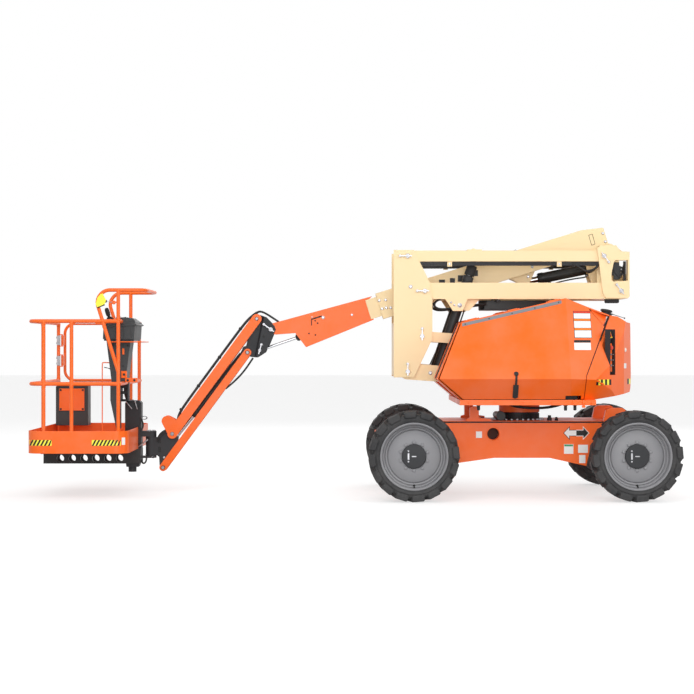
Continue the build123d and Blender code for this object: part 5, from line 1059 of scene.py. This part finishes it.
# ---------------------------------------------------------------- jib end and platform column
# Dark fabricated plates round the rotary actuator. Its cap screws, bright lanyard pins and short hoses loop over the
# plates down to the column's clamps.
ROTATOR = pin["platform_rotate"]
end_screws = Work()
for index in range(8):
    angle = 2 * pi * (index + 0.5) / 8
    end_screws.bolt(seat_at((ROTATOR.x + 0.033 * cos(angle), 0.033 * sin(angle), ROTATOR.z + 0.022), (0, 0, 1)), 0.012,
        0.009)
end_screws.done("actuator_screws", "platform", zinc_plate)
# Black patches on the end plates are painted shade where windows open through them.
end_plate_window_shade = Work()
for side in (-1, 1):
    for corners in ([(-1.648, 0.422), (-1.626, 0.422), (-1.626, 0.460), (-1.648, 0.460)],
        [(-1.650, 0.345), (-1.626, 0.345), (-1.626, 0.392), (-1.650, 0.392)]):
        hug(end_plate_window_shade, corners, side, ("jib_end",), (1, 1), 0.0010)
end_plate_window_shade.done("end_plate_windows_painted_shade", "jib_end", black_print_and_shade)
hose("end_plate_hoses", [
    [(-1.655, side * 0.044, 0.455 - 0.02 * k), (-1.640, side * 0.060, 0.500 - 0.01 * k),
        (-1.580, side * 0.050, 0.548 - 0.012 * k), (-1.535, side * 0.042, 0.535 - 0.02 * k),
        (-1.500, side * 0.040, 0.480)]
    for k, side in ((0, -1), (1, -1), (0, 1))
], 0.0075, "jib_end")
end_bolts = Work()
for side in (-1, 1):
    for x, z in ((-1.486, 0.490), (-1.600, 0.300)):
        end_bolts.bolt(seat_on(x, z, side, "jib_end"), 0.014, 0.007)
end_bolts.done("end_plate_screws", "jib_end", zinc_plate)
lanyard, column_marks = Work(), Work()
COLUMN_FACE = 0.060


def hitch_pin(work, start, finish, thick=0.0038):
    """A bright pin lying on the column's face, from one X and Z point to another, with a ball on its upper end."""
    a, b = Vector((start[0], -COLUMN_FACE - 0.010, start[1])), Vector((finish[0], -COLUMN_FACE - 0.010, finish[1]))
    seat = seat_at(a, b - a)
    length = (b - a).length
    work.turned([(0, -0.008), (0.005, -0.006), (0.0070, -0.001), (0.0060, 0.004), (thick, 0.007),
        (thick, length - 0.004), (thick * 0.6, length), (0, length)], seat, 16)


for start, finish in (
    ((-1.913, 0.769), (-1.868, 0.713)), ((-1.841, 0.773), (-1.823, 0.710)), ((-1.913, 0.360),
        (-1.868, 0.307)), ((-1.841, 0.347), (-1.821, 0.390)),
):
    hitch_pin(lanyard, start, finish)
hitch_pin(lanyard, (-1.738, 0.452), (-1.815, 0.392), 0.006)
lanyard.done("hitch_pins", "platform", zinc_plate)
for z in (0.735, 0.560, 0.415, 0.300):
    for side in (-1, 1):
        column_marks.bolt(seat_at((-1.8055, side * COLUMN_FACE, z), (0, side, 0)), 0.016, 0.008)
        column_marks.bolt(seat_at((-1.9150, side * COLUMN_FACE, z), (0, side, 0)), 0.016, 0.008)
column_marks.done("column_bolts", "platform", dark_coat_and_shade, "dark_paint")
ring = Work()
for x, z, radius, thick in ((-1.7655, 0.638, 0.022, 0.005), (-1.690, 0.305, 0.014, 0.0035)):
    turns = 28
    rows = []
    for k in range(turns):
        angle = 2 * pi * k / turns
        rows.append([Vector((x + (radius + thick * cos(t)) * cos(angle), -0.050 + thick * sin(t),
            z + 0.6 * (radius + thick * cos(t)) * sin(angle))) for t in (0, 0.5 * pi, pi, 1.5 * pi)])
    ring.loft(rows + [rows[0]], caps=False)
bmesh.ops.remove_doubles(ring.mesh, verts=ring.mesh.verts, dist=1e-6)
ring.done("lifting_eyes", "platform", zinc_plate)
hose("column_hoses", [
    [(-1.800, -0.040, 0.300), (-1.785, -0.062, 0.250), (-1.755, -0.066, 0.245), (-1.742, -0.060, 0.290),
        (-1.750, -0.050, 0.330)],
    [(-1.800, -0.055, 0.640), (-1.770, -0.066, 0.600), (-1.765, -0.066, 0.560), (-1.795, -0.062, 0.530)],
], 0.0075, "platform")

# ---------------------------------------------------------------- platform floor
# Steel tray with raised diamonds pressed in its floor, flanged feet screwed round each rail post, and yellow and black
# bands on the near toe board's ends.
FLOOR_TOP = 0.3831
PLATFORM_X = (-2.6333, -1.8173)
tread = Work()
for row in range(23):
    for column in range(12):
        x = PLATFORM_X[0] + 0.064 + column * 0.0612
        y = -0.680 + row * 0.0615
        if x > -1.99 and abs(y) < 0.12:
            continue
        lean = 1 if (row + column) % 2 else -1
        long_way, wide_way = Vector((cos(lean * pi / 4), sin(lean * pi / 4), 0)), Vector((-sin(lean * pi / 4),
            cos(lean * pi / 4), 0))
        low = [Vector((x, y, FLOOR_TOP - 0.0005)) + long_way * a + wide_way * b for a,
            b in ((-0.019, 0), (0, -0.006), (0.019, 0), (0, 0.006))]
        high = [Vector((x, y, FLOOR_TOP + 0.0022)) + long_way * a + wide_way * b for a,
            b in ((-0.014, 0), (0, -0.003), (0.014, 0), (0, 0.003))]
        tread.loft([low, high])
tread.done("floor_tread", "platform", orange_enamel, "orange_paint", crease=20)
band_yellow, band_black = Work(), Work()
for x_low, x_high in ((-2.615, -2.428), (-2.105, -1.872)):
    count = max(3, round((x_high - x_low) / 0.030))
    wide = (x_high - x_low) / count
    hug(band_yellow, box_of((x_low, x_high), (0.442, 0.488)), -1, ("platform_floor",), (8, 1), 0.0008)
    for index in range(count):
        start = x_low + index * wide
        stop = min(start + wide * 0.5, x_high)
        top_start, top_stop = min(start + 0.024, x_high), min(stop + 0.024, x_high)
        if top_stop - top_start > 0.002:
            hug(band_black, [(start, 0.442), (stop, 0.442), (top_stop, 0.488), (top_start, 0.488)], -1,
                ("platform_floor",), (2, 2), 0.0014)
band_yellow.done("toe_board_band_yellow", "platform", lemon_paint)
band_black.done("toe_board_band_black", "platform", black_print_and_shade)
plate_white = Work()
hug(plate_white, box_of((-1.866, -1.842), (0.448, 0.507)), -1, ("platform_floor",), (2, 1), 0.0012)
plate_white.done("toe_board_plate", "platform", label_white)
RAIL_NEAR, RAIL_LEFT, RAIL_RIGHT = -0.7387, -2.6120, -1.8883
feet = Work()
for x, y in ((RAIL_LEFT + 0.115, RAIL_NEAR), (RAIL_LEFT + 0.340, RAIL_NEAR), (RAIL_LEFT, -RAIL_NEAR - 0.090),
    (-2.012, -RAIL_NEAR), (RAIL_LEFT, -0.120), (RAIL_RIGHT, -RAIL_NEAR - 0.140)):
    seat = seat_at((x, y, 0.393), (0, 0, 1))
    feet.turned([(0.015, 0.030), (0.018, 0.010), (0.024, 0.004), (0.024, -0.011), (0, -0.011)], seat, 24)
feet.done("rail_post_feet", "platform", orange_enamel, "orange_paint", crease=50)

# ---------------------------------------------------------------- rails and gate fittings
# Welded tube rails with cast collars at the joints; the gate has zinc-plated hinge leaves and a drop latch, and a thin
# strip runs under the near top rail.
collars = Work()
for z in (1.447, 0.940):
    for x, y in ((RAIL_LEFT + 0.115, RAIL_NEAR), (RAIL_LEFT + 0.340, RAIL_NEAR), (RAIL_LEFT, -0.120),
        (RAIL_LEFT, -RAIL_NEAR - 0.090)):
        collars.turned([(0.0150, -0.034), (0.0168, -0.026), (0.0175, -0.014), (0.0175, 0.014 if z < 1.4 else 0.0),
            (0.0168, 0.026 if z < 1.4 else 0.002), (0.0150, 0.034 if z < 1.4 else 0.003)],
            seat_at((x, y, z), (0, 0, 1)), 20)
collars.done("rail_weld_collars", "platform", orange_enamel, "orange_paint", crease=60)
HINGE_Y = pin["platform_gate_open"].y
post_leaves, gate_screws = Work(), Work()
for z in (1.252, 1.072):
    for rise in (0.020, 0.070):
        post_leaves.turned([(0.0105, -0.001), (0.0105, 0.002), (0.007, 0.0045), (0, 0.005)],
            seat_at((RAIL_LEFT - 0.0145, HINGE_Y, z + rise), (-1, 0, 0)), 14)
    slab(post_leaves, box_of((RAIL_LEFT - 0.010, RAIL_LEFT + 0.020), (z + 0.002, z + 0.088)), -(HINGE_Y - 0.0185), -1,
        0.003)
post_leaves.done("gate_hinge_straps", "platform", zinc_plate)
gate_latch = Work()
gate_latch.plate([(-0.030, -0.030), (0.030, -0.030), (0.036, 0.010), (0.020, 0.030), (-0.020, 0.030), (-0.036, 0.010)],
    seat_at((-2.060, 0.7235, 1.250), (0, -1, 0), (1, 0, 0)), 0.006)
gate_latch.bolt(seat_at((-2.060, 0.7175, 1.250), (0, -1, 0)), 0.018, 0.010)
gate_screws.turned([(0.0, -0.004), (0.0145, -0.004), (0.0150, 0.0), (0.0150, 0.052), (0.0145, 0.056), (0.0, 0.056)],
    seat_at((-2.0560, 0.7387, 1.216), (0, 0, 1)), 20)
gate_latch.done("gate_latch_plate", "platform", zinc_plate, bevel=0.001)
gate_screws.done("gate_latch_sleeve", "platform", orange_enamel, "orange_paint")
wear_strip = Work()
slab(wear_strip, [(-2.240, 1.4275), (-2.077, 1.4275), (-2.080, 1.4335), (-2.237, 1.4335)], -RAIL_NEAR - 0.006, -1,
    0.012)
wear_strip.done("rail_clip", "platform", zinc_plate)

# ---------------------------------------------------------------- storage box
# Moulded document box strapped to the post: a lid with a lip, a rubber latch, and an orange cover plate held by four
# screws.
BOX_X, BOX_FRONT = (-2.606, -2.323), 0.4747
box_lid, box_cover, box_screws = Work(), Work(), Work()
box_lid.loft([[Vector((x, BOX_FRONT - 0.006, z)) for x,
    z in box_of((BOX_X[0] + 0.002, BOX_X[1] - 0.002), (0.884, 0.893))],
    [Vector((x, BOX_FRONT + 0.158, z)) for x, z in box_of((BOX_X[0] + 0.002, BOX_X[1] - 0.002), (0.884, 0.893))]])
box_lid.loft([[Vector((x, BOX_FRONT - 0.004, z)) for x,
    z in box_of((BOX_X[0] + 0.004, BOX_X[1] - 0.004), (0.551, 0.560))],
    [Vector((x, BOX_FRONT + 0.156, z)) for x, z in box_of((BOX_X[0] + 0.004, BOX_X[1] - 0.004), (0.551, 0.560))]])
box_lid.done("box_lid_lip", "platform", console_plastic, "console_plastic", 0.002)
COVER_FRONT = 0.4707
box_cover.loft([[Vector((x, COVER_FRONT + 0.001, z)) for x, z in box_of((-2.576, -2.354), (0.679, 0.874))],
    [Vector((x, COVER_FRONT - 0.0022, z)) for x, z in box_of((-2.574, -2.356), (0.681, 0.872))]])
for x in (-2.562, -2.368):
    for z in (0.693, 0.860):
        box_screws.bolt(seat_at((x, COVER_FRONT - 0.0022, z), (0, -1, 0)), 0.013, 0.006)

box_cover.done("box_cover_plate", "platform", orange_enamel, "orange_paint", 0.001)
box_screws.done("box_cover_screws", "platform", dark_coat_and_shade, "dark_paint")
box_latch = Work()
box_latch.loft([[Vector((x, BOX_FRONT - 0.001, z)) for x, z in box_of((-2.600, -2.590), (0.850, 0.886))],
    [Vector((x, BOX_FRONT - 0.009, z)) for x, z in box_of((-2.599, -2.591), (0.853, 0.884))]])
box_latch.done("box_latch", "platform", black_paint, "black_paint", 0.001)

# ---------------------------------------------------------------- platform console
# A moulded control box with a flared lid rim, ribs down its side, a joystick in a rubber boot and toggles under a
# guard; an orange rod frames its underside, and a slotted mast carries its pedestal.
CONSOLE_NEAR, CONSOLE_FAR = -0.600, -0.130
rim = Work()
RIM_PATH = [(-2.046, 1.398), (-2.040, 1.410), (-1.850, 1.424), (-1.780, 1.435), (-1.760, 1.421), (-1.766, 1.414),
    (-1.775, 1.412), (-1.850, 1.408)]
rim.loft([[Vector((x, y, z)) for x, z in RIM_PATH] for y in (CONSOLE_NEAR - 0.008, CONSOLE_FAR + 0.008)])
rim.done("console_lid_rim", "platform", console_plastic, "console_plastic", 0.003)
ribs = Work()
for x in (-1.992, -1.930, -1.868, -1.806):
    ribs.loft([[Vector((x + a, CONSOLE_NEAR + 0.001, z)) for a,
        z in ((-0.006, 1.310), (0.006, 1.310), (0.006, 1.396), (-0.006, 1.396))],
        [Vector((x + a, CONSOLE_NEAR - 0.004, z)) for a, z in ((-0.003, 1.316), (0.003, 1.316), (0.003, 1.392),
        (-0.003, 1.392))]])
ribs.loft([[Vector((x, y, z)) for x, z in ((-1.900, 1.440), (-1.885, 1.478), (-1.850, 1.484),
    (-1.838, 1.446))] for y in (CONSOLE_NEAR - 0.001, CONSOLE_NEAR + 0.030)])
ribs.loft([[Vector((x, y, z)) for x, z in ((-1.835, 1.446), (-1.822, 1.474), (-1.790, 1.472),
    (-1.776, 1.446))] for y in (CONSOLE_NEAR - 0.001, CONSOLE_NEAR + 0.040)])
ribs.done("console_ribs", "platform", console_plastic, "console_plastic", 0.003)
stick, knob = Work(), Work()
stick_seat = seat_at((-1.9960, -0.500, 1.462), (-0.30, 0, 1))
stick.turned([(0.034, -0.012), (0.034, 0.002), (0.028, 0.006), (0.030, 0.010), (0.021, 0.015), (0.023, 0.019),
    (0.013, 0.025), (0.010, 0.030), (0.0165, 0.034), (0.019, 0.055), (0.0185, 0.082), (0.015, 0.096), (0.008, 0.101),
    (0, 0.102)], stick_seat, 24)
knob.turned([(0.007, -0.004), (0.007, 0.012), (0.013, 0.015), (0.014, 0.022), (0.011, 0.028), (0, 0.030)],
    seat_at((-1.926, -0.470, 1.467), (0, 0, 1)), 20)
for index in range(7):
    seat = seat_at((-1.955 + 0.034 * (index % 3), -0.400 + 0.035 * index, 1.468), (0, 0, 1))
    knob.turned([(0.008, -0.004), (0.008, 0.002), (0.004, 0.004), (0.003, 0.014), (0.004, 0.018), (0, 0.019)], seat, 12)
stick.done("drive_joystick", "platform", seal_rubber, crease=30)
knob.done("console_toggles", "platform", black_paint, "black_paint")
stop = Work()
stop.turned([(0.011, -0.004), (0.011, 0.006), (0.018, 0.009), (0.019, 0.014), (0.015, 0.019), (0, 0.021)],
    seat_at((-1.940, -0.180, 1.466), (0, 0, 1)), 24)
stop.done("console_stop_button", "platform", label_red)
hose("console_rod_frame", [[(-1.980, -0.604, 1.2800), (-1.850, -0.604, 1.2800), (-1.735, -0.604, 1.2800),
    (-1.722, -0.604, 1.2800), (-1.722, -0.590, 1.2800), (-1.722, -0.360, 1.2800), (-1.722, -0.140, 1.2800),
    (-1.722, -0.126, 1.2800), (-1.735, -0.126, 1.2800), (-1.980, -0.126, 1.2800)]], 0.0045, "platform", orange_enamel)
hose("foot_switch_guard", [[(-1.985, -0.450, 1.108), (-2.050, -0.450, 1.110), (-2.063, -0.450, 1.110),
    (-2.065, -0.450, 1.098), (-2.065, -0.450, 1.020), (-2.065, -0.450, 0.900), (-2.065, -0.450, 0.6),
    (-2.065, -0.450, 0.386)]], 0.0045, "platform", orange_enamel)
lever = Work()
lever.loft([[Vector((x, y, z)) for x, z in ((-2.048, 1.074), (-1.992, 1.060), (-1.992, 1.050), (-2.020, 1.062),
    (-2.048, 1.066))] for y in (-0.455, -0.435)])
lever.done("pedestal_lever", "platform", black_paint, "black_paint", 0.001)
mast = Work()
for x in ((-1.941, -1.926), (-1.884, -1.868)):
    mast.loft([[Vector((a, y, z)) for a, z in box_of(x, (0.7835, 0.985))] for y in (-0.290, -0.210)])
for z in ((0.7835, 0.804), (0.846, 0.871), (0.896, 0.952)):
    mast.loft([[Vector((a, y, b)) for a, b in box_of((-1.930, -1.880), z)] for y in (-0.290, -0.284)])
mast.loft([[Vector((a, y, b)) for a, b in box_of((-1.941, -1.868), (0.7835, 0.7895))] for y in (-0.290, 0.050)])
mast.done("console_mast", "platform", dark_coat_and_shade, "dark_paint", 0.001)
clamps, clamp_screws = Work(), Work()
for x, z, y in (((-1.903, -1.857), (0.983, 1.041), (-0.492, -0.478)),
    ((-1.871, -1.770), (0.948, 0.983), (-0.492, -0.440)), ((-1.897, -1.879), (1.176, 1.228), (-0.4835, -0.479))):
    clamps.loft([[Vector((a, b, c)) for a, c in box_of(x, z)] for b in y])
clamps.done("pedestal_clamps", "platform", orange_enamel, "orange_paint", 0.002)
for x, z in ((-1.880, 1.012), (-1.850, 0.965), (-1.795, 0.965)):
    clamp_screws.bolt(seat_at((x, -0.492, z), (0, -1, 0)), 0.014, 0.007)
for x, z in ((-1.975, 1.250), (-1.850, 1.250), (-1.945, 1.080), (-1.890, 1.080)):
    clamp_screws.bolt(seat_at((x, -0.480, z), (0, -1, 0)), 0.010, 0.005)
clamp_screws.done("pedestal_screws", "platform", dark_coat_and_shade, "dark_paint")
hose("console_loom", [
    [(-1.905, -0.300, 1.292), (-1.903, -0.220, 1.200), (-1.905, -0.190, 1.050), (-1.905, -0.190, 0.900),
        (-1.900, -0.140, 0.800), (-1.895, -0.050, 0.786)],
    [(-1.925, -0.300, 1.292), (-1.915, -0.200, 1.180), (-1.920, -0.165, 1.000), (-1.920, -0.165, 0.880),
        (-1.915, -0.110, 0.800), (-1.905, -0.030, 0.784)],
], 0.0095, "platform")

# ---------------------------------------------------------------- hoop fittings
# The yellow gusset in the guard hoop's near arc, its black edge and knob, and the cable that runs to the orange release
# lever.
HOOP_PLANE = -0.7387
gusset = Work()
gusset.loft([[Vector((x, y, z)) for x, z in ((-2.0182, 1.6713), (-1.9900, 1.6148), (-2.0029, 1.5785), (-2.0594, 1.5575),
    (-2.0755, 1.5833), (-2.0594, 1.6350), (-2.040, 1.6600))] for y in (HOOP_PLANE - 0.021, HOOP_PLANE - 0.017)])
gusset.done("hoop_gusset", "platform", lemon_paint)
gusset_edge = Work()
gusset_edge.loft([[Vector((x, y, z)) for x, z in ((-2.0029, 1.5820), (-2.0000, 1.5750), (-2.0590, 1.5510),
    (-2.0630, 1.5580))] for y in (HOOP_PLANE - 0.024, HOOP_PLANE - 0.010)])
gusset_edge.turned([(0.010, -0.010), (0.013, -0.006), (0.013, 0.006), (0.010, 0.010), (0, 0.010)],
    seat_at((-1.9980, HOOP_PLANE, 1.6080), (0, -1, 0)), 20)
gusset_edge.done("hoop_gusset_edge", "platform", seal_rubber, bevel=0.001)
hose("hoop_cable", [[(-1.9980, HOOP_PLANE - 0.004, 1.6080), (-1.975, HOOP_PLANE - 0.004, 1.6040),
    (-1.955, HOOP_PLANE - 0.004, 1.5980), (-1.930, HOOP_PLANE - 0.004, 1.5985)]], 0.0022, "platform", zinc_plate)
release = Work()
release.turned([(0.004, -0.008), (0.013, -0.006), (0.016, 0), (0.013, 0.006), (0, 0.008)],
    seat_at((-1.930, HOOP_PLANE, 1.5975), (0, -1, 0)), 20)
release.turned([(0.006, 0), (0.006, 0.028), (0.010, 0.030), (0, 0.030)],
    seat_at((-1.928, HOOP_PLANE, 1.5985), (1, 0, 0.1)), 14)
release.done("hoop_release_lever", "platform", orange_enamel, "orange_paint")

# ---------------------------------------------------------------- end of the work
size = {"cad_box": cad_box, "visual_box": [list(corner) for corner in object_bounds()]}
